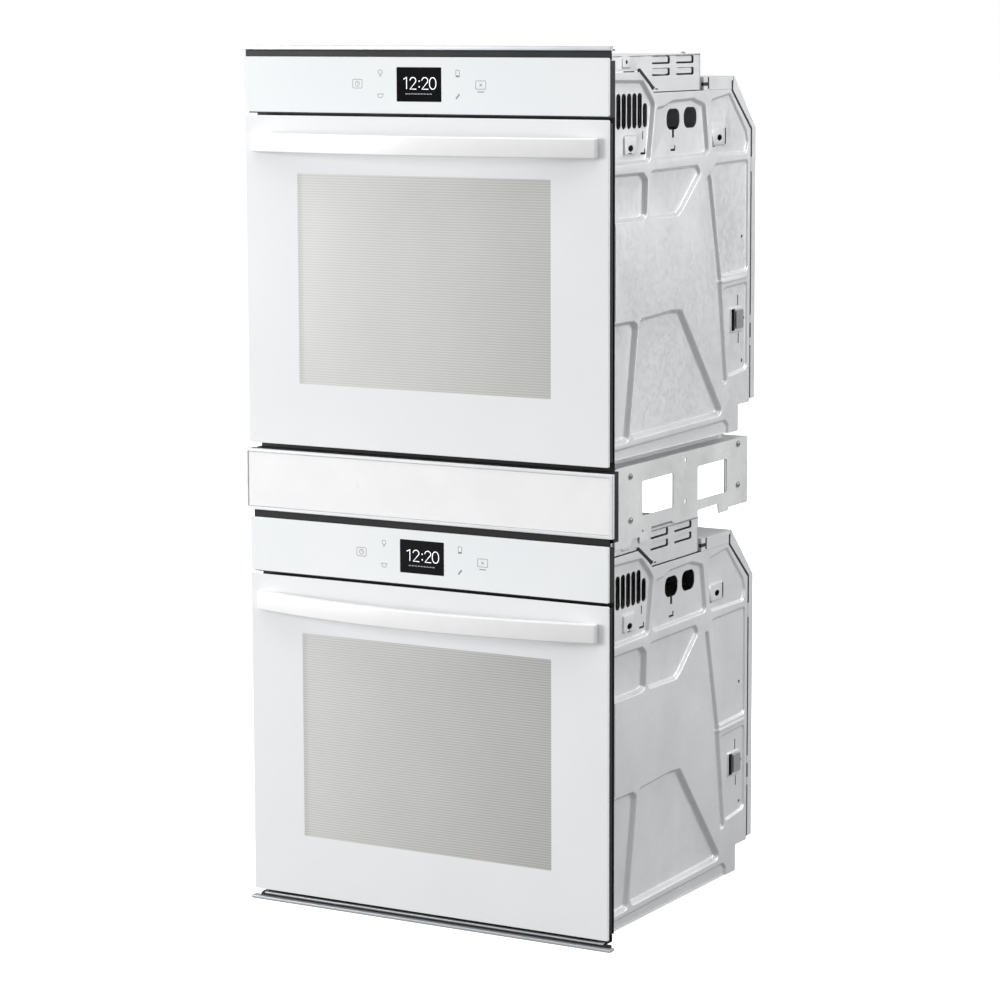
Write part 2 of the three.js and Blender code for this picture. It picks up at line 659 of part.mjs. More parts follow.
// Closed turned body about a y axis through (x, z); profile is [radius, y] from axis to axis.
function turned(profile, [x, z], sides = 24) {
  const points = profile.map(([radius, y]) => new THREE.Vector2(radius, y));
  const geometry = new THREE.LatheGeometry(points, sides);
  geometry.translate(x, 0, z);
  return toSolid(geometry);
}

// Fan cover: a dished baffle on the cavity's back wall with radial slots.
function fanCover() {
  const back = CAVITY_BACK - FIT;
  const front = back - FAN_COVER_DEPTH;
  const place = [0, FAN_HEIGHT];
  const radius = FAN_RADIUS + FAN_COVER_MARGIN;
  const shell = cut(rod('y', radius, [front, back], place, 24), [
    rod('y', radius - SHEET, [front + SHEET, back + 1], place, 24),
  ]);
  const slots = [];
  for (let i = 0; i < FAN_COVER_SLOTS; i += 1) {
    const slot = new THREE.BoxGeometry(FAN_COVER_SLOT.width, 4 * SHEET, FAN_COVER_SLOT.length);
    slot.translate(0, 0, FAN_COVER_SLOT.middle);
    slot.rotateY((i + 0.5) * 2 * Math.PI / FAN_COVER_SLOTS);
    slot.translate(0, front, FAN_HEIGHT);
    slots.push(toSolid(slot));
  }
  return cut(shell, slots);
}

// Convection fan: a disc on the motor shaft with flat blades bent forward.
function convectionFan() {
  const back = CAVITY_BACK - FAN_SETBACK;
  const place = [0, FAN_HEIGHT];
  const disc = rod('y', FAN_RADIUS - FAN_BLADE.length / 3, [back - SHEET, back], place, 24);
  const hub = rod('y', FAN_HUB.radius, [back - FAN_HUB.depth, back], place, 12);
  const blades = [];
  for (let i = 0; i < FAN_BLADES; i += 1) {
    const blade = new THREE.BoxGeometry(SHEET, FAN_BLADE.depth, FAN_BLADE.length);
    blade.translate(0, 0, FAN_RADIUS - FAN_BLADE.length / 2);
    blade.rotateY(i * 2 * Math.PI / FAN_BLADES);
    blade.translate(0, back - FAN_BLADE.depth / 2, FAN_HEIGHT);
    blades.push(toSolid(blade));
  }
  return cut(joined([disc, hub, ...blades]), [
    rod('y', SHAFT_RADIUS + FIT, [back - 2 * FAN_HUB.depth, back + 1], place, 12),
  ]);
}

// Convection motor behind the cavity, with its shaft through the wall to the fan's hub.
function convectionMotor() {
  const front = CAVITY_BACK + CAVITY_WALL + FIT;
  return turned([
    [0, CAVITY_BACK - SHAFT_LENGTH],
    [SHAFT_RADIUS, CAVITY_BACK - SHAFT_LENGTH],
    [SHAFT_RADIUS, front],
    [MOTOR_RADIUS, front],
    [MOTOR_RADIUS, front + MOTOR_LENGTH - 6],
    [MOTOR_RADIUS - 8, front + MOTOR_LENGTH],
    [0, front + MOTOR_LENGTH],
  ], [0, FAN_HEIGHT], 12);
}

// Oven lamp: a glass cap inside the cavity and a holder behind its wall.
function ovenLight() {
  const back = CAVITY_BACK + CAVITY_WALL + LAMP.holder;
  const neck = LAMP.radius - LAMP.neck;
  return turned([
    [0, CAVITY_BACK - LAMP.depth],
    [LAMP.radius * 0.75, CAVITY_BACK - LAMP.depth * 0.8],
    [LAMP.radius, CAVITY_BACK - LAMP.depth * 0.4],
    [LAMP.radius, CAVITY_BACK - FIT],
    [neck, CAVITY_BACK - FIT],
    [neck, back],
    [0, back],
  ], LAMP_PLACE, 16);
}

// ---------------------------------------------------------------- cooling blower

// Crossflow wheel: two end discs joined by blades parallel to its axle.
function blowerWheel() {
  const half = WHEEL_LENGTH / 2;
  const parts = [
    rod('x', WHEEL_RADIUS, [-half, 2 * SHEET - half], WHEEL_PLACE),
    rod('x', WHEEL_RADIUS, [half - 2 * SHEET, half], WHEEL_PLACE),
    rod('x', SHAFT_RADIUS, even(half + AXLE_END), WHEEL_PLACE, 10),
  ];
  for (let i = 0; i < WHEEL_BLADES; i += 1) {
    const blade = new THREE.BoxGeometry(WHEEL_LENGTH - SHEET, SHEET, WHEEL_BLADE.width);
    blade.rotateX(WHEEL_BLADE.tilt);
    blade.translate(0, 0, WHEEL_RADIUS - WHEEL_BLADE.inset);
    blade.rotateX(i * 2 * Math.PI / WHEEL_BLADES);
    blade.translate(0, ...WHEEL_PLACE);
    parts.push(toSolid(blade));
  }
  return joined(parts);
}

// Housing of the wheel: a trough open to the front and to the top, with a motor on one end and
// two feet that stand on the roof of the cavity.
function blowerHousing() {
  const half = WHEEL_LENGTH / 2 + HOUSING_CLEARANCE;
  const reach = WHEEL_RADIUS + HOUSING_CLEARANCE;
  const wall = HEAVY_SHEET;
  const [y, z] = WHEEL_PLACE;
  const outer = block(
    even(half + wall),
    [y - reach - HOUSING_LIP, y + reach + wall],
    [z - reach - wall, z + reach - HOUSING_LIP],
  );
  const inner = block(even(half), [y - 2 * reach, y + reach], [z - reach, z + reach]);
  const motor = rod('x', BLOWER_MOTOR[0], [half, half + BLOWER_MOTOR[1]], WHEEL_PLACE);
  const feet = [-1, 1].map((side) => block(
    across(side, half - FOOT_WIDTH, half),
    [y - reach, y + reach],
    [CAVITY_TOP + CAVITY_WALL + FIT, z - reach - wall / 2],
  ));
  const boreEnd = WHEEL_LENGTH / 2 + AXLE_END + HOUSING_CLEARANCE;
  const bores = rod('x', SHAFT_RADIUS + FIT, even(boreEnd), WHEEL_PLACE, 10);
  return cut(joined([cut(outer, [inner]), motor, ...feet]), [bores]);
}

// ---------------------------------------------------------------- door

// Door frame: a channel ring open towards the glass, with the hinge pins at its lower corners.
function doorFrame() {
  const low = 1;
  const high = DOOR_TOP - 5;
  const wall = HEAVY_SHEET;
  const windowHalf = WINDOW_WIDTH / 2;
  const windowTop = WINDOW_BOTTOM + WINDOW_HEIGHT;
  const body = block(even(FRAME_HALF), [BEHIND_GLASS, DOOR_BACK], [low, high]);
  const channel = cut(
    block(even(FRAME_HALF - wall), [0, DOOR_BACK - wall], [low + wall, high - wall]),
    [block(
      even(windowHalf + wall),
      [-1, DOOR_BACK],
      [WINDOW_BOTTOM - wall, windowTop + wall],
    )],
  );
  const light = block(even(windowHalf), [0, DOOR_BACK + 1], [WINDOW_BOTTOM, windowTop]);
  const notchHalf = HINGE_ARM[0] / 2 + HINGE_PLAY;
  const cheekHalf = notchHalf + HINGE_CHEEK;
  const armTop = HINGE_Z + HINGE_ARM[1] / 2;
  const notches = [-1, 1].map((side) => block(
    across(side, HINGE_X - notchHalf, HINGE_X + notchHalf),
    [BEHIND_GLASS + SHEET / 3, DOOR_BACK + 1],
    [0, armTop + HINGE_PLAY],
  ));
  const cheeks = [-1, 1].map((side) => block(
    across(side, HINGE_X - cheekHalf, HINGE_X + cheekHalf),
    [BEHIND_GLASS, DOOR_BACK - wall / 2],
    [low + wall / 2, armTop + HINGE_CHEEK],
  ));
  const pins = [-1, 1].map((side) => {
    const span = [side * HINGE_X - cheekHalf + 2, side * HINGE_X + cheekHalf - 2];
    return rod('x', HINGE_PIN, span, [HINGE_Y, HINGE_Z], 12);
  });
  const ring = cut(body, [channel, light]);
  return joined([cut(joined([ring, ...cheeks]), notches), ...pins]);
}

function innerGlass() {
  const back = DOOR_BACK - FIT;
  return block(
    even(WINDOW_WIDTH / 2 - FIT),
    [back - GLASS, back],
    [WINDOW_BOTTOM + FIT, WINDOW_BOTTOM + WINDOW_HEIGHT - FIT],
  );
}

// Handle: a flat bar bowed in plan, which widens into a foot on the glass at each end.
function handle() {
  const half = GLASS_HALF - HANDLE_INSET;
  const seat = -FIT;
  const innerHalf = half - HANDLE_FOOT;
  const bow = (reach, start, along) => start - (reach - Math.abs(start)) * (1 - along ** 2);
  const outer = [];
  const inner = [];
  for (let i = 0; i <= HANDLE_STEPS; i += 1) {
    const along = 2 * i / HANDLE_STEPS - 1;
    outer.push([along * half, bow(HANDLE_REACH, -HANDLE_END, along)]);
    inner.push([along * innerHalf, bow(HANDLE_REACH - HANDLE_BAR, seat, along)]);
  }
  const plan = [[-half, seat], ...outer, [half, seat], ...inner.reverse()];
  const top = DOOR_TOP - HANDLE_DROP;
  return upright(outline(plan), [top - HANDLE_HEIGHT, top]);
}

// Hinge: an arm from the pivot through the front frame to a spring box in the chassis.
function hinge(side) {
  const [thick, tall] = HINGE_ARM;
  const [width, depth, height] = HINGE_BODY;
  const start = CHASSIS_FRONT + SHEET + FIT + HINGE_PLAY;
  const arm = rectangle([HINGE_Y - tall / 2 + FIT, start + tall], [HINGE_Z - tall / 2, HINGE_Z + tall / 2]);
  const blade = sideways(
    outline(arm, tall / 3),
    across(side, HINGE_X - thick / 2, HINGE_X + thick / 2),
  );
  const box = block(
    across(side, HINGE_X - width / 2, HINGE_X + width / 2),
    [start, start + depth],
    [HINGE_Z - tall / 2, HINGE_Z - tall / 2 + height],
  );
  const bore = rod('x', HINGE_PIN + FIT, even(GLASS_HALF), [HINGE_Y, HINGE_Z], 12);
  return cut(joined([blade, box]), [bore]);
}

// Seal between the door and the front frame, a flat ring around the mouth of the cavity.
function doorGasket() {
  const y = [DOOR_BACK + FIT, FRAME_FRONT - FIT];
  const ring = (grow) => rectangle(
    even(CAVITY_HALF + grow),
    [CAVITY_BOTTOM - grow, CAVITY_TOP + grow],
  );
  const outer = outline(ring(SEAL_MARGIN + SEAL_WIDTH), SEAL_CORNER + SEAL_WIDTH);
  return cut(facing(outer, y), [
    facing(outline(ring(SEAL_MARGIN), SEAL_CORNER), [y[0] - 1, y[1] + 1]),
  ]);
}

function displayWindow(grow) {
  const x = DISPLAY_SHIFT;
  const z = CONTROL_BOTTOM + DISPLAY_RISE;
  const half = DISPLAY_WIDTH / 2 + grow;
  return rectangle([x - half, x + half], [z - grow, z + DISPLAY_HEIGHT + grow]);
}

function controlPanel() {
  const face = rectangle(even(GLASS_HALF), [CONTROL_BOTTOM, CONTROL_TOP]);
  return cut(facing(outline(face, FRONT_CORNER), [0, GLASS]), [
    facing(outline(displayWindow(0)), [-1, GLASS + 1]),
  ]);
}

const displayModule = () => facing(outline(displayWindow(-FIT)), [FIT, GLASS + DISPLAY_DEPTH]);

function doorGlass() {
  const face = rectangle(even(GLASS_HALF), [-DOOR_DROP, DOOR_TOP]);
  return facing(outline(face, FRONT_CORNER), [0, GLASS]);
}

// ---------------------------------------------------------------- spacer and trims

// Bracket at one side of the spacer: a plate with two windows and a flange at top and bottom.
function spacerBracket(side) {
  const front = SPACER_BACKING_BACK + FIT;
  const tab = BRACKET_BOTTOM - BRACKET_TAB.drop;
  const foot = BRACKET_BOTTOM - BRACKET_FOOT.drop;
  const plate = [
    [front, tab],
    [front + BRACKET_TAB.length, tab],
    [front + BRACKET_TAB.length, BRACKET_BOTTOM],
    [BRACKET_BACK - BRACKET_FOOT.start, BRACKET_BOTTOM],
    [BRACKET_BACK - BRACKET_FOOT.start, foot],
    [BRACKET_BACK - BRACKET_FOOT.end, foot],
    [BRACKET_BACK - BRACKET_FOOT.end, BRACKET_BOTTOM],
    [BRACKET_BACK, BRACKET_BOTTOM],
    [BRACKET_BACK, BRACKET_TOP],
    [front, BRACKET_TOP],
  ];
  const outside = across(side, CHASSIS_HALF - HEAVY_SHEET, CHASSIS_HALF);
  const flangeX = across(side, CHASSIS_HALF - BRACKET_FLANGE, CHASSIS_HALF - HEAVY_SHEET / 2);
  const flanges = [
    block(
      flangeX,
      [front + BRACKET_SETBACK, BRACKET_BACK],
      [BRACKET_TOP - HEAVY_SHEET, BRACKET_TOP],
    ),
    block(
      flangeX,
      [SHOULDER_FOOT, DUCT_BACK - BRACKET_SETBACK],
      [BRACKET_BOTTOM, BRACKET_BOTTOM + HEAVY_SHEET],
    ),
  ];
  const low = BRACKET_BOTTOM + (BRACKET_HEIGHT - BRACKET_WINDOW.height) / 2;
  const windows = [0, 1].map((i) => {
    const y = front + BRACKET_WINDOW.front + i * (BRACKET_WINDOW.width + BRACKET_WINDOW.gap);
    return sideways(
      outline(rectangle([y, y + BRACKET_WINDOW.width], [low, low + BRACKET_WINDOW.height])),
      across(side, CHASSIS_HALF - 2 * HEAVY_SHEET, CHASSIS_HALF + 1),
    );
  });
  return cut(joined([sideways(outline(plate), outside), ...flanges]), windows);
}

// Spacer front: a shallow pan, turned back at its edges, with a raised rim around its face.
function spacerPanel() {
  const half = GLASS_HALF + SPACER_OVERHANG;
  const z = [SPACER_BOTTOM, SPACER_TOP];
  const body = block(even(half), [-HEAVY_SHEET, SPACER_DEPTH], z);
  const recess = block(
    even(half - SPACER_BEZEL),
    [-2 * HEAVY_SHEET, 0],
    [z[0] + SPACER_BEZEL, z[1] - SPACER_BEZEL],
  );
  const inside = block(
    even(half - HEAVY_SHEET),
    [HEAVY_SHEET, SPACER_DEPTH + 1],
    [z[0] + HEAVY_SHEET, z[1] - HEAVY_SHEET],
  );
  return cut(body, [recess, inside]);
}

// Black channel behind the spacer front. The brackets are fixed to its back.
function spacerBacking() {
  const half = FRAME_HALF + BACKING_OVERHANG;
  const z = [BRACKET_BOTTOM, SPACER_TOP];
  const y = [SPACER_DEPTH + FIT, SPACER_BACKING_BACK];
  const inside = block(
    even(half - HEAVY_SHEET),
    [0, y[1] - HEAVY_SHEET],
    [z[0] + HEAVY_SHEET, z[1] - HEAVY_SHEET],
  );
  return cut(block(even(half), y, z), [inside]);
}

function topTrim() {
  const low = UPPER_BASE + CONTROL_TOP + TOP_TRIM_RISE;
  const strip = block(
    even(GLASS_HALF + TRIM_OVERHANG),
    [SHEET - TRIM_PROUD, FRAME_BACK],
    [low, low + TOP_TRIM_HEIGHT],
  );
  const leg = block(
    even(FRAME_HALF),
    [FRAME_BACK - HEAVY_SHEET, FRAME_BACK],
    [low - TOP_TRIM_RISE - FRAME_DROP + FIT, low + 1],
  );
  return joined([strip, leg]);
}

function bottomTrim() {
  const top = LOWER_BASE - DOOR_DROP - BOTTOM_TRIM_DROP;
  const low = top - BOTTOM_TRIM_HEIGHT;
  const web = top - 2 * HEAVY_SHEET;
  const front = block(even(GLASS_HALF + TRIM_OVERHANG), [-TRIM_PROUD, HINGE_Y], [low, top]);
  const shelf = block(even(FRAME_HALF), [HINGE_Y - 1, FRAME_BACK], [web, web + HEAVY_SHEET]);
  const leg = block(
    even(FRAME_HALF),
    [FRAME_BACK - HEAVY_SHEET, FRAME_BACK],
    [web, LOWER_BASE],
  );
  return joined([front, shelf, leg]);
}

// ---------------------------------------------------------------- assembly

function part(name, solid, finish) {
  const material = new THREE.MeshStandardMaterial({ ...finish, flatShading: true });
  const mesh = new THREE.Mesh(toGeometry(solid), material);
  mesh.name = name;
  return mesh;
}

function oven(prefix, base) {
  const group = new THREE.Group();
  const add = (name, solid, finish) => group.add(part(`${prefix}_${name}`, solid, finish));
  add('side_panel_left', sidePanel(-1), FINISH.galvanised);
  add('side_panel_right', sidePanel(1), FINISH.galvanised);
  add('top_cover', topCover(), FINISH.galvanised);
  add('vent_duct', ventDuct(), FINISH.galvanised);
  add('back_cover', backCover(), FINISH.galvanised);
  add('base_pan', basePan(), FINISH.galvanised);
  add('front_frame', frontFrame(), FINISH.blackPaint);
  add('cavity', cavity(), FINISH.enamel);
  add('bake_element', element(bakeHeight()), FINISH.element);
  add('broil_element', element(broilHeight()), FINISH.element);
  add('rack_lower', rack(RACK_LEVELS.lower), FINISH.chrome);
  add('rack_upper', rack(RACK_LEVELS.upper), FINISH.chrome);
  add('fan_cover', fanCover(), FINISH.enamel);
  add('convection_fan', convectionFan(), FINISH.galvanised);
  add('convection_motor', convectionMotor(), FINISH.galvanised);
  add('oven_light', ovenLight(), FINISH.lamp);
  add('blower_wheel', blowerWheel(), FINISH.galvanised);
  add('blower_housing', blowerHousing(), FINISH.galvanised);
  add('control_panel', controlPanel(), FINISH.whiteGlass);
  add('display_module', displayModule(), FINISH.displayBlack);
  add('door_glass', doorGlass(), FINISH.whiteGlass);
  add('door_frame', doorFrame(), FINISH.blackPaint);
  add('inner_glass', innerGlass(), FINISH.windowGlass);
  add('handle', handle(), FINISH.whitePaint);
  add('hinge_left', hinge(-1), FINISH.galvanised);
  add('hinge_right', hinge(1), FINISH.galvanised);
  add('door_gasket', doorGasket(), FINISH.rubber);
  group.position.z = base;
  return group;
}

const wallOven = new THREE.Group();
wallOven.add(oven('lower', LOWER_BASE));
wallOven.add(oven('upper', UPPER_BASE));
wallOven.add(part('spacer_bracket_left', spacerBracket(-1), FINISH.galvanised));
wallOven.add(part('spacer_bracket_right', spacerBracket(1), FINISH.galvanised));
wallOven.add(part('spacer_panel', spacerPanel(), FINISH.whitePaint));
wallOven.add(part('spacer_backing', spacerBacking(), FINISH.blackPaint));
wallOven.add(part('top_trim', topTrim(), FINISH.brightTrim));
wallOven.add(part('bottom_trim', bottomTrim(), FINISH.brightTrim));
wallOven.position.y = -BASE_CENTRE;
wallOven.updateMatrixWorld(true);

export default wallOven;
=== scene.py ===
"""A double built-in wall oven: two equal ovens, one above the other, joined by a spacer.

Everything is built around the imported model, in its frame and in metres. Sizes are given in
millimetres inside one oven: x to the right, y back from the face of the door glass and z up
from the lower edge of the side panels.
"""

import logging
import math
from dataclasses import dataclass, field
from enum import Enum
from typing import Callable, Iterable, Optional, Sequence, Union

import bmesh
import bpy
import numpy as np
from mathutils import Matrix, Vector
from mathutils.geometry import delaunay_2d_cdt


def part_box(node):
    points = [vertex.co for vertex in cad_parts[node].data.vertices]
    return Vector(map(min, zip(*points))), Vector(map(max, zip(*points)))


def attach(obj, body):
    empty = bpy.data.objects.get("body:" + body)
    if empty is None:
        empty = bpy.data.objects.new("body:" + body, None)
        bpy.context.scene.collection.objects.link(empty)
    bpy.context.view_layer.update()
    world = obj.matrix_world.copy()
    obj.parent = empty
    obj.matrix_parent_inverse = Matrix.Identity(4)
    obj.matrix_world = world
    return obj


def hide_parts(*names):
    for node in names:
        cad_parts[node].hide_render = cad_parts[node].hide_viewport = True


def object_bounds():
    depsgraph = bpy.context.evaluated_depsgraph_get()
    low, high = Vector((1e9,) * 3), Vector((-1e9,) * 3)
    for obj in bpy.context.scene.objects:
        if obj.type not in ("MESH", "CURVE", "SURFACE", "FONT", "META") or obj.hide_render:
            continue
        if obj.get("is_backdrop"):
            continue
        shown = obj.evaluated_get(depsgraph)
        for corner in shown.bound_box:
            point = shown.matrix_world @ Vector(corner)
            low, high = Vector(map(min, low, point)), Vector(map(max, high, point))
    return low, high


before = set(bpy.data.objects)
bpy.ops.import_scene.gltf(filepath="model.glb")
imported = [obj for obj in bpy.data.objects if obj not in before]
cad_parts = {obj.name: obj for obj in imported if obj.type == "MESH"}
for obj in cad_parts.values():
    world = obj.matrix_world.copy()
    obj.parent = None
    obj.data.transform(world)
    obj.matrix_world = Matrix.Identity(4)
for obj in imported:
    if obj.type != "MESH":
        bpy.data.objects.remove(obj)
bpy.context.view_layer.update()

MM = 0.001
LOG = logging.getLogger("wall_oven")
Pair = tuple[float, float]
Colour = tuple[float, float, float]
Object = bpy.types.Object
Material = bpy.types.Material
Socket = bpy.types.NodeSocket
Link = Union[Socket, float, Colour]
Put = Callable[[float, float, float], Vector]


class Side(Enum):
    """The two sides of the oven, as the sign of x."""

    LEFT = -1
    RIGHT = 1


class Level(Enum):
    """The two racks of an oven: the CAD node and the body of each."""

    LOWER = ("rack_lower", "low_rack")
    UPPER = ("rack_upper", "high_rack")


# ---- places

@dataclass(frozen=True)
class Place:
    """Where one oven stands in the frame.

    Args:
        prefix: first word of the oven's nodes, lower or upper.
        face: y of the door glass's face, in metres.
        base: z of the side panels' lower edge, in metres.
    """

    prefix: str
    face: float
    base: float

    @classmethod
    def of(cls, prefix: str) -> "Place":
        """The place of the oven whose nodes start with prefix."""
        glass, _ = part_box(f"{prefix}_door_glass")
        panel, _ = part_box(f"{prefix}_side_panel_right")
        return cls(prefix, glass.y, panel.z)

    def at(self, x: float, y: float, z: float) -> Vector:
        """The point of the frame, in metres, at millimetres of the oven."""
        return Vector((x * MM, self.face + y * MM, self.base + z * MM))

    def box(self, node: str) -> tuple[Vector, Vector]:
        """Lowest and highest corner of any node, in the oven's millimetres."""
        origin = Vector((0.0, self.face, self.base))
        low, high = ((corner - origin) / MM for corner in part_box(node))
        return low, high

    def reach(self, node: str) -> tuple[Vector, Vector]:
        """Lowest and highest corner of one of the oven's own nodes, in the oven's millimetres."""
        return self.box(f"{self.prefix}_{node}")

    def ring(self, loop: Sequence[Pair], y: float) -> list[Vector]:
        """A loop of (x, z) at one depth."""
        return [self.at(x, y, z) for x, z in loop]

    def outward(self, side: Side, face: float) -> Put:
        """Puts (y, z, height) on a side wall, with height away from the oven."""
        return lambda y, z, height: self.at(side.value * (face + height), y, z)


# ---- shader wiring

def srgb(red: int, green: int, blue: int) -> Colour:
    """A linear colour from its 0 to 255 screen values.

    Args:
        red: screen value of the red channel.
        green: the same of the green one.
        blue: the same of the blue one.

    Returns:
        The linear colour.
    """
    def linear(value: int) -> float:
        """One channel in linear light."""
        share = value / 255
        return share / 12.92 if share <= 0.04045 else ((share + 0.055) / 1.055) ** 2.4

    return linear(red), linear(green), linear(blue)


class Wiring:
    """A node tree that is filled by short calls.

    Args:
        tree: the shader or geometry node tree to fill.
    """

    def __init__(self, tree: bpy.types.NodeTree) -> None:
        """Keeps the tree."""
        self.tree = tree

    def add(self, kind: str, inputs: Optional[dict] = None, **settings: object) -> bpy.types.Node:
        """Adds a node.

        Args:
            kind: the node's type name.
            inputs: sockets to link or values to set, by input name or number.
            settings: properties of the node.

        Returns:
            The node.
        """
        node = self.tree.nodes.new(kind)
        for name, value in settings.items():
            setattr(node, name, value)
        for key, value in (inputs or {}).items():
            if isinstance(value, Socket):
                self.tree.links.new(value, node.inputs[key])
            else:
                node.inputs[key].default_value = value
        return node

    def maths(self, operation: str, first: Link, second: Link = 0.0, clamp: bool = False) -> Socket:
        """Output of a Math node on two sockets or numbers."""
        node = self.add("ShaderNodeMath", {0: first, 1: second}, operation=operation, use_clamp=clamp)
        return node.outputs[0]

    def span(self, value: Link, low: float, high: float, start: float = 0.0, end: float = 1.0) -> Socket:
        """Output of a clamped Map Range node, from low..high to start..end."""
        node = self.add("ShaderNodeMapRange", {0: value, 1: low, 2: high, 3: start, 4: end})
        return node.outputs[0]

    def mix(self, share: Link, first: Link, second: Link) -> Socket:
        """Output of a colour mix, where colours are given as three numbers or sockets.

        Args:
            share: of the second colour.
            first: colour or socket.
            second: colour or socket.

        Returns:
            The mixed colour's socket.
        """
        def whole(value: Link) -> Union[Socket, tuple]:
            """A colour with its alpha, or the socket unchanged."""
            return (*value, 1.0) if isinstance(value, tuple) else value

        node = self.add("ShaderNodeMix", {0: share, 6: whole(first), 7: whole(second)},
                        data_type="RGBA")
        return node.outputs[2]

    def noise(self, scale: Link, detail: float, **more: float) -> Socket:
        """Output of a noise texture over the object, with any other inputs in more."""
        inputs = {"Vector": self.place(), "Scale": scale, "Detail": detail}
        inputs.update({name.title(): value for name, value in more.items()})
        return self.add("ShaderNodeTexNoise", inputs).outputs[0]

    def place(self) -> Socket:
        """Object coordinates of the shaded point."""
        return self.add("ShaderNodeTexCoord").outputs["Object"]


class Effects:
    """The shader groups that several finishes share. Each is built once."""

    def __init__(self) -> None:
        """Builds the groups."""
        self.grain = self._grain()
        self.spangle = self._spangle()
        self.smudge = self._smudge()
        self.dust = self._dust()
        self.wear = self._wear()

    @staticmethod
    def _begin(name: str, inputs: dict[str, float], outputs: Iterable[str]) -> tuple:
        """A new group with its sockets.

        Args:
            name: the group's name.
            inputs: input names with their usual values.
            outputs: output names, all of them plain values.

        Returns:
            The group, its wiring, its input node and its output node.
        """
        group = bpy.data.node_groups.new(name, "ShaderNodeTree")
        for label, value in inputs.items():
            socket = group.interface.new_socket(label, in_out="INPUT", socket_type="NodeSocketFloat")
            socket.default_value = value
        for label in outputs:
            group.interface.new_socket(label, in_out="OUTPUT", socket_type="NodeSocketFloat")
        wiring = Wiring(group)
        return group, wiring, wiring.add("NodeGroupInput"), wiring.add("NodeGroupOutput")

    def _grain(self) -> bpy.types.NodeTree:
        """Fine even grain, such as orange peel in paint or enamel.

        Returns:
            The group.
        """
        group, w, given, out = self._begin("fine_grain", {"Scale": 400.0}, ("Height", "Tone"))
        coarse = w.noise(given.outputs["Scale"], 2.0, roughness=0.55)
        cloud = w.noise(w.maths("MULTIPLY", given.outputs["Scale"], 0.02), 3.0)
        w.tree.links.new(coarse, out.inputs["Height"])
        tone = w.maths("ADD", w.maths("MULTIPLY", cloud, 0.8), w.maths("MULTIPLY", coarse, 0.2))
        w.tree.links.new(tone, out.inputs["Tone"])
        return group

    def _spangle(self) -> bpy.types.NodeTree:
        """Crystals of a zinc coat: each cell has a tone of its own.

        Returns:
            The group.
        """
        group, w, given, out = self._begin("zinc_spangle", {"Scale": 120.0}, ("Tone", "Edge"))
        warp = w.add("ShaderNodeTexNoise", {"Vector": w.place(), "Scale": 60.0, "Detail": 2.0})
        bent = w.add("ShaderNodeVectorMath", {0: warp.outputs["Color"], 1: (0.006, 0.006, 0.006)},
                     operation="MULTIPLY")
        moved = w.add("ShaderNodeVectorMath", {0: w.place(), 1: bent.outputs[0]}, operation="ADD")
        cells = w.add("ShaderNodeTexVoronoi", {"Vector": moved.outputs[0],
                                               "Scale": given.outputs["Scale"]})
        parts = w.add("ShaderNodeSeparateColor", {0: cells.outputs["Color"]})
        w.tree.links.new(parts.outputs[0], out.inputs["Tone"])
        w.tree.links.new(w.span(cells.outputs["Distance"], 0.3, 0.8), out.inputs["Edge"])
        return group

    def _smudge(self) -> bpy.types.NodeTree:
        """Soft wiped patches, as hands and cloths leave them.

        Returns:
            The group.
        """
        group, w, given, out = self._begin("handling_smudges", {"Scale": 6.0}, ("Mask",))
        scale = w.add("ShaderNodeMapping", {"Vector": w.place(), "Scale": (1.0, 1.0, 0.45)})
        cloud = w.add("ShaderNodeTexNoise", {"Vector": scale.outputs[0], "Detail": 5.0,
                                             "Scale": given.outputs["Scale"], "Roughness": 0.62,
                                             "Distortion": 0.6})
        w.tree.links.new(w.span(cloud.outputs[0], 0.42, 0.68), out.inputs["Mask"])
        return group

    def _dust(self) -> bpy.types.NodeTree:
        """Dust that settles on what faces up.

        Returns:
            The group.
        """
        group, w, given, out = self._begin("settled_dust", {"Amount": 0.4}, ("Mask",))
        normal = w.add("ShaderNodeNewGeometry").outputs["True Normal"]
        turned = w.add("ShaderNodeVectorTransform", {0: normal}, vector_type="NORMAL",
                       convert_from="WORLD", convert_to="OBJECT")
        up = w.add("ShaderNodeSeparateXYZ", {0: turned.outputs[0]}).outputs["Z"]
        cloud = w.noise(35.0, 6.0)
        mask = w.maths("MULTIPLY", w.span(up, 0.5, 0.95), w.span(cloud, 0.35, 0.7))
        mask = w.maths("MULTIPLY", mask, given.outputs["Amount"], clamp=True)
        w.tree.links.new(mask, out.inputs["Mask"])
        return group

    def _wear(self) -> bpy.types.NodeTree:
        """Rubbed outer edges: where a rounded normal leaves the flat one.

        Returns:
            The group.
        """
        group, w, given, out = self._begin("rubbed_edges", {"Radius": 0.0012}, ("Mask",))
        soft = w.add("ShaderNodeBevel", {"Radius": given.outputs["Radius"]}, samples=4)
        hard = w.add("ShaderNodeNewGeometry").outputs["Normal"]
        same = w.add("ShaderNodeVectorMath", {0: soft.outputs[0], 1: hard}, operation="DOT_PRODUCT")
        edge = w.span(same.outputs["Value"], 0.985, 0.8)
        mask = w.maths("MULTIPLY", edge, w.span(w.noise(90.0, 4.0), 0.35, 0.6), clamp=True)
        w.tree.links.new(mask, out.inputs["Mask"])
        return group


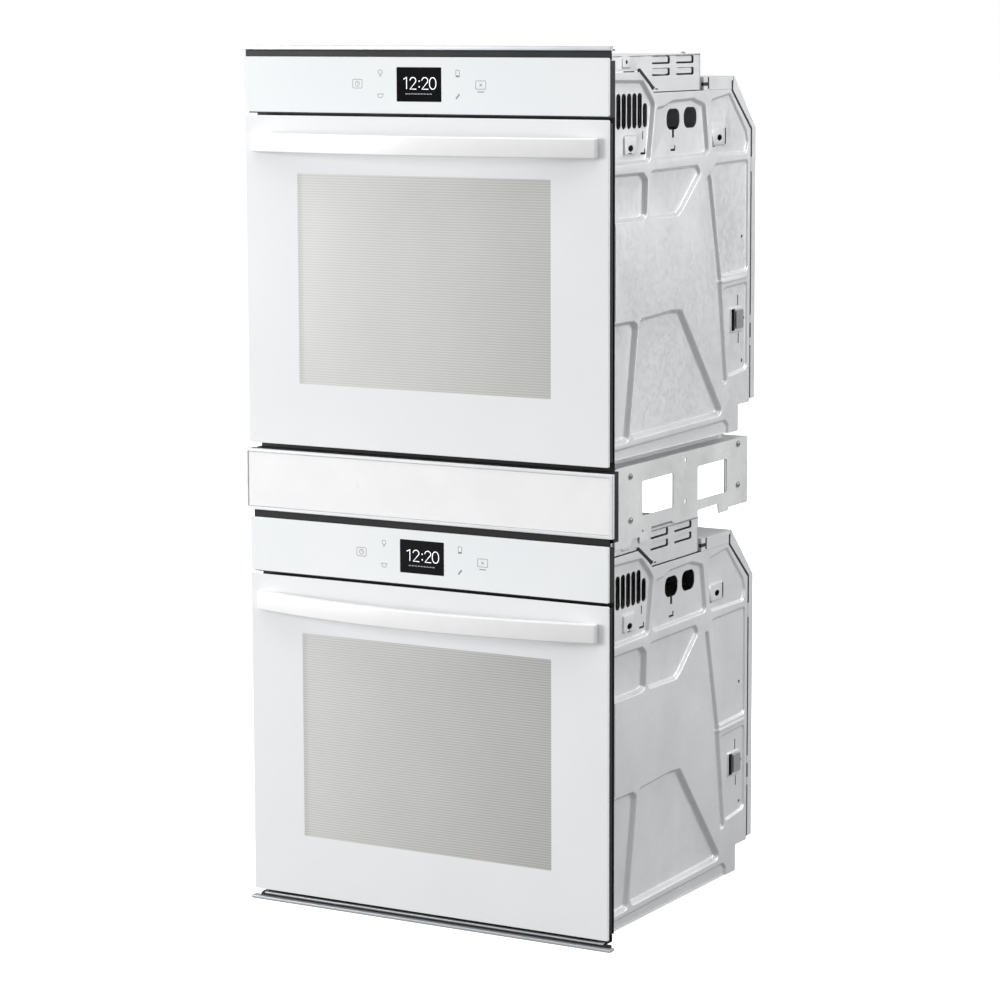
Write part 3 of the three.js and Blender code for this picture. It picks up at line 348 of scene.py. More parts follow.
@dataclass(frozen=True)
class Finish:
    """A surface finish, with the shared effects that it uses.

    Args:
        name: the material's name.
        colour: base colour, in linear light.
        second: colour that the tone of the surface wanders to.
        roughness: of the clean surface.
        metallic: 0 for paint and glass, up to 1 for metal.
        coat: weight of a clear coat.
        specular: strength of the reflection, 0.5 for common glass and paint.
        grain: scale of the fine grain, per metre.
        bump: height of the grain, in metres.
        spangle: scale of the zinc cells, per metre, or 0 for none.
        smudge: how much handling dulls it.
        dust: how much dust lies on what faces up.
        wear: colour of rubbed edges, or None.
    """

    name: str
    colour: Colour
    second: Colour
    roughness: float
    metallic: float = 0.0
    coat: float = 0.0
    specular: float = 0.5
    grain: float = 500.0
    bump: float = 0.00002
    spangle: float = 0.0
    smudge: float = 0.06
    dust: float = 0.0
    wear: Optional[Colour] = None

    def make(self, effects: Effects) -> Material:
        """Builds the material.

        Args:
            effects: the shared shader groups.

        Returns:
            The new material.
        """
        material = bpy.data.materials.new(self.name)
        material.use_nodes = True
        material.diffuse_color = (*self.colour, 1.0)
        wiring = Wiring(material.node_tree)
        shader = material.node_tree.nodes["Principled BSDF"]
        shader.inputs["Metallic"].default_value = self.metallic
        shader.inputs["Coat Weight"].default_value = self.coat
        shader.inputs["Coat Roughness"].default_value = 0.08
        shader.inputs["Specular IOR Level"].default_value = self.specular
        self.dress(wiring, shader, effects)
        return material

    def dress(self, w: Wiring, shader: bpy.types.Node, effects: Effects) -> None:
        """Wires the effects to the shader.

        Args:
            w: the material's wiring.
            shader: its Principled node.
            effects: the shared shader groups.
        """
        grain = w.add("ShaderNodeGroup", node_tree=effects.grain)
        grain.inputs["Scale"].default_value = self.grain
        colour = w.mix(w.span(grain.outputs["Tone"], 0.35, 0.65), self.colour, self.second)
        rough = w.maths("ADD", w.span(grain.outputs["Tone"], 0.3, 0.7, -0.03, 0.03), self.roughness)
        if self.spangle:
            zinc = w.add("ShaderNodeGroup", node_tree=effects.spangle)
            zinc.inputs["Scale"].default_value = self.spangle
            light = w.span(zinc.outputs["Tone"], 0.0, 1.0, 0.0, 0.5)
            colour = w.mix(light, colour, self.second)
            rough = w.maths("ADD", rough, w.span(zinc.outputs["Tone"], 0.0, 1.0, -0.05, 0.07))
        hands = w.add("ShaderNodeGroup", node_tree=effects.smudge)
        rough = w.maths("ADD", rough, w.maths("MULTIPLY", hands.outputs["Mask"], self.smudge))
        if self.wear:
            rub = w.add("ShaderNodeGroup", node_tree=effects.wear)
            colour = w.mix(rub.outputs["Mask"], colour, self.wear)
        if self.dust:
            film = w.add("ShaderNodeGroup", node_tree=effects.dust)
            film.inputs["Amount"].default_value = self.dust
            colour = w.mix(film.outputs["Mask"], colour, srgb(196, 192, 184))
            rough = w.maths("ADD", rough, w.maths("MULTIPLY", film.outputs["Mask"], 0.4), clamp=True)
        w.tree.links.new(colour, shader.inputs["Base Color"])
        w.tree.links.new(rough, shader.inputs["Roughness"])
        self.emboss(w, shader, grain.outputs["Height"])

    def emboss(self, w: Wiring, shader: bpy.types.Node, height: Socket) -> None:
        """Adds the grain as a bump."""
        bump = w.add("ShaderNodeBump", {"Strength": 0.5, "Distance": self.bump, "Height": height})
        w.tree.links.new(bump.outputs[0], shader.inputs["Normal"])


@dataclass(frozen=True)
class BrushedFinish(Finish):
    """Metal brushed along x."""

    def emboss(self, w: Wiring, shader: bpy.types.Node, height: Socket) -> None:
        """Adds long fine scratches as a bump."""
        drawn = w.add("ShaderNodeMapping", {"Vector": w.place(), "Scale": (4.0, 700.0, 700.0)})
        lines = w.add("ShaderNodeTexNoise", {"Vector": drawn.outputs[0], "Scale": 1.0, "Detail": 3.0})
        super().emboss(w, shader, w.maths("ADD", lines.outputs[0], w.maths("MULTIPLY", height, 0.2)))


@dataclass(frozen=True)
class BraidFinish(Finish):
    """Braided sleeve of the door seal."""

    pitch: float = 900.0

    def emboss(self, w: Wiring, shader: bpy.types.Node, height: Socket) -> None:
        """Adds two crossing sets of strands as a bump.

        Args:
            w: the material's wiring.
            shader: its Principled node.
            height: height of the fine grain.
        """
        weave = height
        for turn in (0.8, -0.8):
            laid = w.add("ShaderNodeMapping", {"Vector": w.place(), "Rotation": (0.0, turn, turn)})
            strands = w.add("ShaderNodeTexWave", {"Vector": laid.outputs[0], "Scale": self.pitch,
                                                  "Distortion": 0.4}, bands_direction="X")
            weave = w.maths("MAXIMUM", weave, strands.outputs["Fac"])
        super().emboss(w, shader, weave)


@dataclass(frozen=True)
class WindowPrintAndShadeFinish(Finish):
    """Fine printed lines across the window, see-through between them, over painted shade that darkens
    towards the far lower corner and along the near edge.

    Args:
        pitch: distance between lines, in millimetres.
        cover: opacity of the print between and on the lines.
        shade: colour of the painted shade at the far lower corner.
        painted_shade_drift: where the painted shade starts and stops getting darker, in metres.
        painted_edge_shade: the painted dark line of shade at the near edge, from where to where, in
            metres.
    """

    pitch: float = 3.8
    cover: Pair = (0.74, 0.84)
    shade: Colour = (0.3, 0.3, 0.3)
    # Painted shade: where the print darkens, and the dark line along the near edge.
    painted_shade_drift: Pair = (-0.42, 0.22)
    painted_edge_shade: Pair = (-0.207, -0.201)

    def dress(self, w: Wiring, shader: bpy.types.Node, effects: Effects) -> None:
        """Wires the printed lines to the colour and the opacity, and paints the shade into the colour.

        Args:
            w: the material's wiring.
            shader: its Principled node.
            effects: the shared shader groups.
        """
        super().dress(w, shader, effects)
        across = w.add("ShaderNodeSeparateXYZ", {0: w.place()})
        turns = 2 * math.pi / (self.pitch * MM)
        wave = w.maths("SINE", w.maths("MULTIPLY", across.outputs["Z"], turns))
        line = w.span(wave, -0.6, 0.6)
        cover = w.span(line, 0.0, 1.0, *self.cover)
        grain = w.add("ShaderNodeGroup", node_tree=effects.grain)
        cover = w.maths("ADD", cover, w.span(grain.outputs["Tone"], 0.3, 0.7, -0.02, 0.02))
        w.tree.links.new(cover, shader.inputs["Alpha"])
        # Painted shade: the print gets darker towards the far lower corner.
        painted_shade_drift = w.maths("ADD", across.outputs["X"], w.maths("MULTIPLY", across.outputs["Z"], -0.25))
        tone = w.mix(w.span(painted_shade_drift, *self.painted_shade_drift), self.colour, self.shade)
        # Painted shade: a dark line along the window's near edge.
        painted_edge_shade = w.span(across.outputs["X"], *self.painted_edge_shade, 0.3, 0.0)
        tone = w.mix(painted_edge_shade, tone, self.shade)
        w.tree.links.new(w.mix(w.maths("MULTIPLY", line, 0.25), tone, self.second),
                         shader.inputs["Base Color"])


@dataclass(frozen=True)
class PaneFinish(Finish):
    """Clear glass with a faint tint. Its metallic and transmission stay plain."""

    clear: float = 0.9

    def make(self, effects: Effects) -> Material:
        """Builds the material, with the transmission set on the shader itself.

        Args:
            effects: the shared shader groups.

        Returns:
            The new material.
        """
        material = super().make(effects)
        shader = material.node_tree.nodes["Principled BSDF"]
        shader.inputs["Transmission Weight"].default_value = self.clear
        shader.inputs["IOR"].default_value = 1.5
        return material


@dataclass(frozen=True)
class GlowFinish(Finish):
    """Lit segments of the display."""

    strength: float = 1.0

    def dress(self, w: Wiring, shader: bpy.types.Node, effects: Effects) -> None:
        """Wires a faint unevenness of the light to the emission colour.

        Args:
            w: the material's wiring.
            shader: its Principled node.
            effects: the shared shader groups.
        """
        super().dress(w, shader, effects)
        grain = w.add("ShaderNodeGroup", node_tree=effects.grain)
        light = w.mix(w.span(grain.outputs["Tone"], 0.3, 0.7), self.colour, self.second)
        w.tree.links.new(light, shader.inputs["Emission Color"])
        shader.inputs["Emission Strength"].default_value = self.strength


@dataclass(frozen=True)
class SpeckledFinish(Finish):
    """Dark enamel with pale specks fired into it."""

    speck: Colour = (0.6, 0.6, 0.6)

    def dress(self, w: Wiring, shader: bpy.types.Node, effects: Effects) -> None:
        """Wires the specks over the enamel's own colour.

        Args:
            w: the material's wiring.
            shader: its Principled node.
            effects: the shared shader groups.
        """
        super().dress(w, shader, effects)
        under = shader.inputs["Base Color"].links[0].from_socket
        dots = w.add("ShaderNodeTexVoronoi", {"Vector": w.place(), "Scale": 260.0})
        some = w.add("ShaderNodeSeparateColor", {0: dots.outputs["Color"]})
        near = w.span(dots.outputs["Distance"], 0.28, 0.16)
        mask = w.maths("MULTIPLY", near, w.maths("GREATER_THAN", some.outputs[0], 0.55))
        w.tree.links.new(w.mix(w.maths("MULTIPLY", mask, 0.7), under, self.speck),
                         shader.inputs["Base Color"])


class Finishes:
    """Every finish of the oven, built once and asked for by name."""

    def __init__(self) -> None:
        """Builds the shared effects and the materials."""
        effects = Effects()
        steel = srgb(188, 190, 192)
        kinds = {
            "white_glass": Finish("white_glass", srgb(238, 239, 240), srgb(234, 236, 237), 0.12,
                coat=0.6, grain=300.0, bump=0.000004, smudge=0.03),
            "panel_glass": Finish("panel_glass", srgb(240, 242, 243), srgb(237, 240, 242), 0.1,
                coat=0.6, grain=300.0, bump=0.000004, smudge=0.03),
            "white_paint": Finish("white_paint", srgb(242, 242, 242), srgb(237, 237, 238), 0.3,
                coat=0.3, grain=900.0, bump=0.00002, smudge=0.05),
            # Black paint of the frames; the same finish also paints the shade in gaps, seams and behind
            # slots.
            "black_frame": Finish("black_frame", srgb(24, 24, 26), srgb(17, 17, 19), 0.46, specular=0.3,
                grain=900.0, bump=0.00002, wear=srgb(48, 48, 50), dust=0.05),
            "display": Finish("display_glass", srgb(4, 4, 6), srgb(8, 8, 11), 0.08, specular=0.25,
                grain=200.0, bump=0.000003, smudge=0.04),
            "glow": GlowFinish("lit_digits", srgb(238, 242, 246), srgb(226, 232, 240), 0.5,
                strength=0.85),
            "dim_glow": GlowFinish("lit_bar", srgb(150, 156, 164), srgb(130, 136, 146), 0.5,
                strength=0.45),
            "ink": Finish("grey_ink", srgb(132, 136, 140), srgb(122, 126, 131), 0.5, grain=1500.0,
                bump=0.00001),
            # The window's print also carries painted shade: darker towards the far lower corner and
            # along its near edge.
            "window_print_and_shade": WindowPrintAndShadeFinish("window_print_and_shade", srgb(236, 236, 234), srgb(240, 240, 238),
                0.14, coat=0.6, shade=srgb(182, 182, 180)),
            "window_glass": PaneFinish("window_glass", srgb(232, 236, 236), srgb(226, 232, 232), 0.03,
                bump=0.000002, smudge=0.02),
            "galvanised": Finish("galvanised_steel", srgb(217, 218, 219), srgb(206, 208, 210), 0.4,
                metallic=0.45, grain=700.0, bump=0.00001, spangle=170.0, smudge=0.1, dust=0.1),
            "mottled": Finish("mottled_zinc", srgb(228, 229, 229), srgb(202, 204, 204), 0.42,
                metallic=0.5, grain=500.0, bump=0.00002, spangle=110.0, smudge=0.12,
                wear=srgb(228, 229, 230)),
            "bright_trim": BrushedFinish("brushed_trim", srgb(206, 208, 210), srgb(196, 199, 202), 0.3,
                metallic=0.6, bump=0.000002),
            "satin_rim": Finish("satin_rim", srgb(232, 233, 234), srgb(224, 226, 228), 0.3,
                metallic=0.3, grain=700.0, bump=0.000004),
            "oven_enamel": SpeckledFinish("speckled_enamel", srgb(92, 96, 102), srgb(80, 84, 90), 0.22,
                coat=0.5, grain=260.0, bump=0.00003, speck=srgb(164, 168, 172)),
            "rack_chrome": Finish("rack_chrome", srgb(226, 228, 230), srgb(214, 216, 219), 0.16,
                metallic=0.9, grain=800.0, bump=0.00001, smudge=0.08),
            "element_sheath": Finish("element_sheath", srgb(76, 70, 66), srgb(58, 54, 52), 0.55,
                metallic=0.5, grain=900.0, bump=0.00004),
            "bare_steel": Finish("bare_steel", steel, srgb(168, 171, 174), 0.34, metallic=0.85,
                grain=600.0, bump=0.00002, wear=srgb(220, 222, 224)),
            "screw_zinc": Finish("zinc_screws", srgb(176, 178, 178), srgb(150, 152, 150), 0.32,
                metallic=0.9, grain=1200.0, bump=0.00002),
            "lamp_glass": PaneFinish("lamp_glass", srgb(246, 242, 228), srgb(240, 234, 216), 0.2,
                bump=0.00003, clear=0.45),
            "seal_rubber": BraidFinish("braided_seal", srgb(64, 64, 66), srgb(48, 48, 50), 0.8,
                bump=0.0002),
            # Glass wool; its dark tone also paints the shade seen through the slots and ports.
            "blanket": Finish("glass_wool_and_shade", srgb(118, 112, 98), srgb(86, 82, 74), 0.95, grain=240.0,
                bump=0.0012, smudge=0.0),
        }
        self._made = {name: finish.make(effects) for name, finish in kinds.items()}
        LOG.info("finishes: %d", len(self._made))

    def __getitem__(self, name: str) -> Material:
        """The material of that name."""
        return self._made[name]


# ---- mesh helpers

def rounded(points: Sequence[Pair], radius: float, grow: float = 0.0, steps: int = 5) -> list[Pair]:
    """An outline with arcs at its corners.

    Args:
        points: corners of the outline, in order.
        radius: of each corner, limited by its neighbours.
        grow: distance that the whole outline is moved outwards.
        steps: straight pieces in each arc.

    Returns:
        The points of the new outline, counter-clockwise.
    """
    corners = [Vector(point) for point in points]
    area = sum(a.cross(b) for a, b in zip(corners, corners[1:] + corners[:1]))
    if area < 0:
        corners.reverse()
    loop = []
    for i, corner in enumerate(corners):
        back = corner - corners[i - 1]
        ahead = corners[(i + 1) % len(corners)] - corner
        way, onward = back.normalized(), ahead.normalized()
        out, out_next = Vector((way.y, -way.x)), Vector((onward.y, -onward.x))
        turn = math.atan2(way.cross(onward), way.dot(onward))
        bend = 1 if turn > 0 else -1
        room = 0.49 * min(back.length, ahead.length) / max(math.tan(abs(turn) / 2), 1e-6)
        arc = max(min(radius, room), 0.01)
        centre = corner - bend * arc * (out + out_next) / (1 + out.dot(out_next))
        start = math.atan2(out.y, out.x)
        for k in range(steps + 1):
            angle = start + turn * k / steps
            reach = bend * arc + grow
            loop.append((centre.x + math.cos(angle) * reach, centre.y + math.sin(angle) * reach))
    return loop


def rectangle(low: Pair, high: Pair) -> list[Pair]:
    """Corners of a rectangle from its lowest and highest corner."""
    return [low, (high[0], low[1]), high, (low[0], high[1])]


def slab(low: Vector, high: Vector, corner: float, edge: float) -> list[tuple[list[Pair], float]]:
    """Loops round a flat upright slab, from its front to its back.

    Args:
        low: its lowest corner.
        high: its highest corner.
        corner: radius of its corners.
        edge: width of the chamfer along both faces.

    Returns:
        The loops of (x, z), each with its depth.
    """
    outer = rectangle((low.x, low.z), (high.x, high.z))
    levels = ((low.y, -edge), (low.y + edge, 0.0), (high.y - edge, 0.0), (high.y, -edge))
    return [(rounded(outer, corner, grow), y) for y, grow in levels]


def circle(centre: Pair, radius: float, sides: int = 20) -> list[Pair]:
    """Points on a circle."""
    turns = (2 * math.pi * i / sides for i in range(sides))
    return [(centre[0] + radius * math.cos(t), centre[1] + radius * math.sin(t)) for t in turns]


def arc_points(centre: Pair, radii: Pair, start: float, end: float, steps: int) -> list[Pair]:
    """Points on an elliptic arc, from one angle to another in degrees."""
    turns = (math.radians(start + (end - start) * k / steps) for k in range(steps + 1))
    return [(centre[0] + radii[0] * math.cos(t), centre[1] + radii[1] * math.sin(t)) for t in turns]


def strip(line: Sequence[Pair], width: float) -> list[Pair]:
    """Outline of a band of that width along a line of points.

    Args:
        line: middle of the band.
        width: of the band.

    Returns:
        The closed outline.
    """
    left, right = [], []
    points = [Vector(point) for point in line]
    for i, point in enumerate(points):
        before = (point - points[i - 1]).normalized() if i else None
        after = (points[i + 1] - point).normalized() if i + 1 < len(points) else before
        before = before or after
        out = Vector((before.y + after.y, -before.x - after.x))
        out *= width / 2 / max(out.length_squared / 2, 0.6)
        left.append(tuple(point - out))
        right.append(tuple(point + out))
    return right + left[::-1]


class Shape:
    """A mesh of closed solids, in metres."""

    def __init__(self) -> None:
        """Starts empty."""
        self.points: list[Vector] = []
        self.faces: list[list[int]] = []
        self.marks: list[int] = []

    def _face(self, indices: Sequence[int], mark: int) -> None:
        """Adds one face with its material number."""
        self.faces.append(list(indices))
        self.marks.append(mark)

    def loft(self, rings: Sequence[Sequence[Vector]], mark: int = 0, cap: Optional[int] = 0,
             closed: bool = False) -> None:
        """Joins rings of equal length.

        Args:
            rings: the rings, in order.
            mark: material number of the sides.
            cap: material number of the two ends, or None for no ends.
            closed: joins the last ring to the first.
        """
        start = len(self.points)
        size = len(rings[0])
        for ring in rings:
            self.points.extend(ring)
        count = len(rings)
        for r in range(count if closed else count - 1):
            a, b = start + r * size, start + (r + 1) % count * size
            for i in range(size):
                j = (i + 1) % size
                self._face((a + i, a + j, b + j, b + i), mark)
        if not closed and cap is not None:
            last = start + (count - 1) * size
            self._face(range(start, start + size), cap)
            self._face(range(last + size - 1, last - 1, -1), cap)

    def prism(self, outline: Sequence[Pair], put: Put,
              low: float, high: float, edge: float = 0.0, mark: int = 0) -> None:
        """A flat piece with its edges taken off.

        Args:
            outline: its counter-clockwise outline.
            put: turns two coordinates of the outline and a height into a point.
            low: height of one face.
            high: height of the other.
            edge: width of the chamfer along both faces.
            mark: material number.
        """
        levels = [(low, 0.0), (high, 0.0)]
        if edge:
            levels = [(low, edge), (low + edge, 0.0), (high - edge, 0.0), (high, edge)]
        self.loft([[put(u, v, level) for u, v in inset(outline, gap)] for level, gap in levels],
                  mark, mark)

    def object(self, name: str, materials: Sequence[Material],
               smooth: float = 35.0) -> Object:
        """Makes the object.

        Args:
            name: the piece's name.
            materials: by material number.
            smooth: angle in degrees over which an edge stays sharp.

        Returns:
            The new object, at the origin.
        """
        mesh = bpy.data.meshes.new(name)
        mesh.from_pydata(self.points, [], self.faces)
        mesh.polygons.foreach_set("material_index", self.marks)
        tidy_mesh(mesh, smooth)
        return as_object(name, mesh, materials)


def inset(outline: Sequence[Pair], gap: float) -> list[Pair]:
    """The outline moved inwards, point by point.

    Args:
        outline: closed and counter-clockwise.
        gap: how far each point moves in, or out where it is negative.

    Returns:
        The moved points.
    """
    if not gap:
        return list(outline)
    points = [Vector(point) for point in outline]
    moved = []
    for i, point in enumerate(points):
        way = (point - points[i - 1]).normalized()
        onward = (points[(i + 1) % len(points)] - point).normalized()
        out = Vector((way.y, -way.x)) + Vector((onward.y, -onward.x))
        share = max(out.length_squared / 2, 0.2)
        moved.append(tuple(point - out * gap / share))
    return moved


def tidy_mesh(mesh: bpy.types.Mesh, smooth: float) -> None:
    """Turns the faces outwards and sets which edges stay sharp.

    Args:
        mesh: that is changed.
        smooth: angle in degrees over which an edge stays sharp.
    """
    work = bmesh.new()
    work.from_mesh(mesh)
    bmesh.ops.remove_doubles(work, verts=work.verts, dist=1e-7)
    bmesh.ops.recalc_face_normals(work, faces=work.faces)
    work.to_mesh(mesh)
    work.free()
    mesh.polygons.foreach_set("use_smooth", [True] * len(mesh.polygons))
    mesh.set_sharp_from_angle(angle=math.radians(smooth))
    mesh.update()


def stand(name: str, data: bpy.types.ID) -> Object:
    """Adds an object that shows the data to the scene."""
    item = bpy.data.objects.new(name, data)
    bpy.context.scene.collection.objects.link(item)
    return item


def as_object(name: str, mesh: bpy.types.Mesh,
              materials: Sequence[Material]) -> Object:
    """An object at the origin that shows the mesh with these materials.

    Args:
        name: of the object.
        mesh: that it shows.
        materials: by material number.

    Returns:
        The new object.
    """
    if mesh.materials:
        mesh.materials.clear()
    for material in materials:
        mesh.materials.append(material)
    return stand(name, mesh)


def seat(piece: Object, body: str, slot: str, *nodes: str) -> Object:
    """Gives a finished piece its body and hides the CAD nodes that it stands for.

    Args:
        piece: the finished piece.
        body: that it rides on.
        slot: not used.
        nodes: that it stands for.

    Returns:
        The piece.
    """
    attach(piece, body)
    if nodes:
        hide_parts(*nodes)
    LOG.info("%s rides on %s, %d faces", piece.name, body, len(piece.data.polygons))
    return piece


def inside(points: np.ndarray, loop: Sequence[Pair]) -> np.ndarray:
    """Which of the points lie inside the closed loop.

    Args:
        points: one in each row.
        loop: the closed loop.

    Returns:
        True or false for each point.
    """
    found = np.zeros(len(points), bool)
    x, y = points[:, 0], points[:, 1]
    for (ax, ay), (bx, by) in zip(loop, [*loop[1:], loop[0]]):
        if ay == by:
            continue
        crosses = (ay > y) != (by > y)
        found ^= crosses & (x < (bx - ax) * (y - ay) / (by - ay) + ax)
    return found


def distance(points: np.ndarray, loop: Sequence[Pair]) -> np.ndarray:
    """Distance of each point to the loop, negative inside it.

    Args:
        points: one in each row.
        loop: the closed loop.

    Returns:
        One distance for each point.
    """
    best = np.full(len(points), np.inf)
    for a, b in zip(loop, [*loop[1:], loop[0]]):
        start = np.array(a)
        way = np.array(b) - start
        share = np.clip((points - start) @ way / max(way @ way, 1e-12), 0, 1)
        best = np.minimum(best, np.linalg.norm(points - start - share[:, None] * way, axis=1))
    return np.where(inside(points, loop), -best, best)


@dataclass(frozen=True)
class Pressing:
    """A pan or a boss pressed into a sheet.

    Args:
        points: its outline, half way down the wall.
        depth: how far it goes in, or out where it is negative.
        wall: width of its sloping wall.
        radius: of its corners.
    """

    points: Sequence[Pair]
    depth: float
    wall: float = 6.0
    radius: float = 8.0

    def contours(self) -> list[list[Pair]]:
        """Lines along the wall, from its top to its bottom."""
        shares = (0.5, 0.3, 0.0, -0.3, -0.5)
        return [rounded(self.points, self.radius, share * self.wall) for share in shares]

    def height(self, points: np.ndarray) -> np.ndarray:
        """Height of the sheet at the points."""
        gap = distance(points, rounded(self.points, self.radius))
        share = np.clip(0.5 - gap / self.wall, 0, 1)
        return -self.depth * share * share * (3 - 2 * share)


@dataclass(frozen=True)
class Sheet:
    """Sheet metal with pressings and holes.

    Args:
        outline: of the sheet.
        pressings: pans; where two meet, the deeper one holds.
        bosses: shapes that are added on top of the pans.
        holes: loops that are cut through.
        gauge: thickness of the sheet.
    """

    outline: Sequence[Pair]
    pressings: Sequence[Pressing] = ()
    bosses: Sequence[Pressing] = ()
    holes: Sequence[Sequence[Pair]] = ()
    gauge: float = 0.9

    def height(self, points: np.ndarray) -> np.ndarray:
        """Height of the sheet's outer face at the points.

        Args:
            points: one in each row.

        Returns:
            One height for each point.
        """
        level = np.zeros(len(points))
        for pressing in self.pressings:
            level = np.minimum(level, pressing.height(points))
        for boss in self.bosses:
            level = level + boss.height(points)
        return level

    def _triangles(self) -> tuple[np.ndarray, np.ndarray]:
        """Points and triangles of the flat sheet, with every contour among its edges.

        Returns:
            The points, and the triangles as numbers of points.
        """
        loops = [list(self.outline), *map(list, self.holes)]
        for pressing in (*self.pressings, *self.bosses):
            loops.extend(pressing.contours())
        points, edges = [], []
        for loop in loops:
            start, size = len(points), len(loop)
            points.extend(Vector(point) for point in loop)
            edges.extend((start + i, start + (i + 1) % size) for i in range(size))
        found, _, faces, *_ = delaunay_2d_cdt(points, edges, [], 0, 1e-4)
        flat = np.array([tuple(point) for point in found])
        faces = np.array([tuple(face) for face in faces])
        middles = flat[faces].mean(axis=1)
        keep = inside(middles, self.outline)
        for hole in self.holes:
            keep &= ~inside(middles, hole)
        return flat, faces[keep]

    def build(self, name: str, put: Put,
              material: Material) -> Object:
        """Makes the closed sheet.

        Args:
            name: the piece's name.
            put: turns two coordinates and a height above the sheet's face into a point.
            material: of the whole sheet.

        Returns:
            The new object.
        """
        flat, faces = self._triangles()
        used, faces = np.unique(faces, return_inverse=True)
        flat, faces = flat[used], faces.reshape(-1, 3)
        level = self.height(flat)
        step = 0.15
        slope = [(self.height(flat + move) - self.height(flat - move)) / (2 * step)
                 for move in (np.array((step, 0.0)), np.array((0.0, step)))]
        count = len(flat)
        points = [put(u, v, w) for (u, v), w in zip(flat, level)]
        points += [put(u, v, w - self.gauge) for (u, v), w in zip(flat, level)]
        origin = put(0.0, 0.0, 0.0)
        axes = [(put(*unit) - origin).normalized() for unit in np.eye(3)]
        if axes[0].cross(axes[1]).dot(axes[2]) < 0:
            faces = faces[:, ::-1]
        edges: dict[tuple[int, int], int] = {}
        for a, b, c in faces:
            for edge in ((a, b), (b, c), (c, a)):
                edges[edge] = edges.get(edge, 0) + 1
        rim = [edge for edge in edges if edge[::-1] not in edges]
        polygons = [list(map(int, face)) for face in faces]
        polygons += [[int(i) + count for i in face[::-1]] for face in faces]
        polygons += [[int(b), int(a), int(a) + count, int(b) + count] for a, b in rim]
        mesh = bpy.data.meshes.new(name)
        mesh.from_pydata(points, [], polygons)
        mesh.polygons.foreach_set("use_smooth", [True] * len(polygons))
        normals = [(axes[2] - axes[0] * u - axes[1] * v).normalized() for u, v in zip(*slope)]
        mesh.update()
        corners = []
        for polygon in mesh.polygons:
            for index in polygon.vertices:
                if polygon.index < len(faces):
                    corners.append(normals[index])
                elif polygon.index < 2 * len(faces):
                    corners.append(-normals[index - count])
                else:
                    corners.append(polygon.normal.copy())
        mesh.normals_split_custom_set(corners)
        return as_object(name, mesh, [material])


# ---- geometry node trees

class Tree:
    """A geometry node tree with named inputs.

    Args:
        name: of the tree.
        inputs: label to socket type and usual value; the material is added to them.
    """

    def __init__(self, name: str, inputs: dict[str, tuple[str, object]]) -> None:
        """Makes the tree's sockets."""
        self.group = bpy.data.node_groups.new(name, "GeometryNodeTree")
        face = self.group.interface
        face.new_socket("Geometry", in_out="INPUT", socket_type="NodeSocketGeometry")
        face.new_socket("Geometry", in_out="OUTPUT", socket_type="NodeSocketGeometry")
        self.sockets: dict[str, str] = {}
        for label, (kind, value) in inputs.items():
            socket = face.new_socket(label, in_out="INPUT", socket_type=f"NodeSocket{kind}")
            socket.default_value = value
            self.sockets[label] = socket.identifier
        socket = face.new_socket("Material", in_out="INPUT", socket_type="NodeSocketMaterial")
        self.sockets["Material"] = socket.identifier
        self.wiring = Wiring(self.group)
        self.given = self.wiring.add("NodeGroupInput").outputs
        self.out = self.wiring.add("NodeGroupOutput")

    def end(self, parts: Sequence[Socket]) -> None:
        """Joins the parts, makes them real and gives them the material.

        Args:
            parts: outputs that hold geometry.
        """
        w = self.wiring
        whole = w.add("GeometryNodeJoinGeometry")
        for part in parts:
            w.tree.links.new(part, whole.inputs[0])
        real = w.add("GeometryNodeRealizeInstances", {0: whole.outputs[0]})
        shade = w.add("GeometryNodeSetShadeSmooth", {"Geometry": real.outputs[0]})
        dressed = w.add("GeometryNodeSetMaterial", {"Geometry": shade.outputs[0],
                                                    "Material": self.given["Material"]})
        w.tree.links.new(dressed.outputs[0], self.out.inputs[0])

    def grow(self, name: str, material: Material, values: dict[str, object],
             points: Sequence[Vector] = (), edges: Sequence[tuple[int, int]] = (),
             facing: Sequence[Vector] = (), smooth: float = 35.0) -> Object:
        """Runs the tree once and keeps its result as a plain mesh.

        Args:
            name: the piece's name.
            material: of the result.
            values: the tree's inputs, by label.
            points: of the base mesh.
            edges: of the base mesh.
            facing: direction at each point, for trees that read it.
            smooth: angle in degrees over which an edge stays sharp.

        Returns:
            The new object.
        """
        base = bpy.data.meshes.new(f"{name}_base")
        base.from_pydata([tuple(point) for point in points], edges, [])
        if facing:
            attribute = base.attributes.new("facing", "FLOAT_VECTOR", "POINT")
            attribute.data.foreach_set("vector", [c for way in facing for c in way])
        holder = stand(f"{name}_base", base)
        modifier = holder.modifiers.new("build", "NODES")
        modifier.node_group = self.group
        for label, value in {**values, "Material": material}.items():
            modifier[self.sockets[label]] = value
        ready = holder.evaluated_get(bpy.context.evaluated_depsgraph_get())
        mesh = bpy.data.meshes.new_from_object(ready)
        mesh.name = name
        bpy.data.objects.remove(holder)
        bpy.data.meshes.remove(base)
        tidy_mesh(mesh, smooth)
        return as_object(name, mesh, [material])


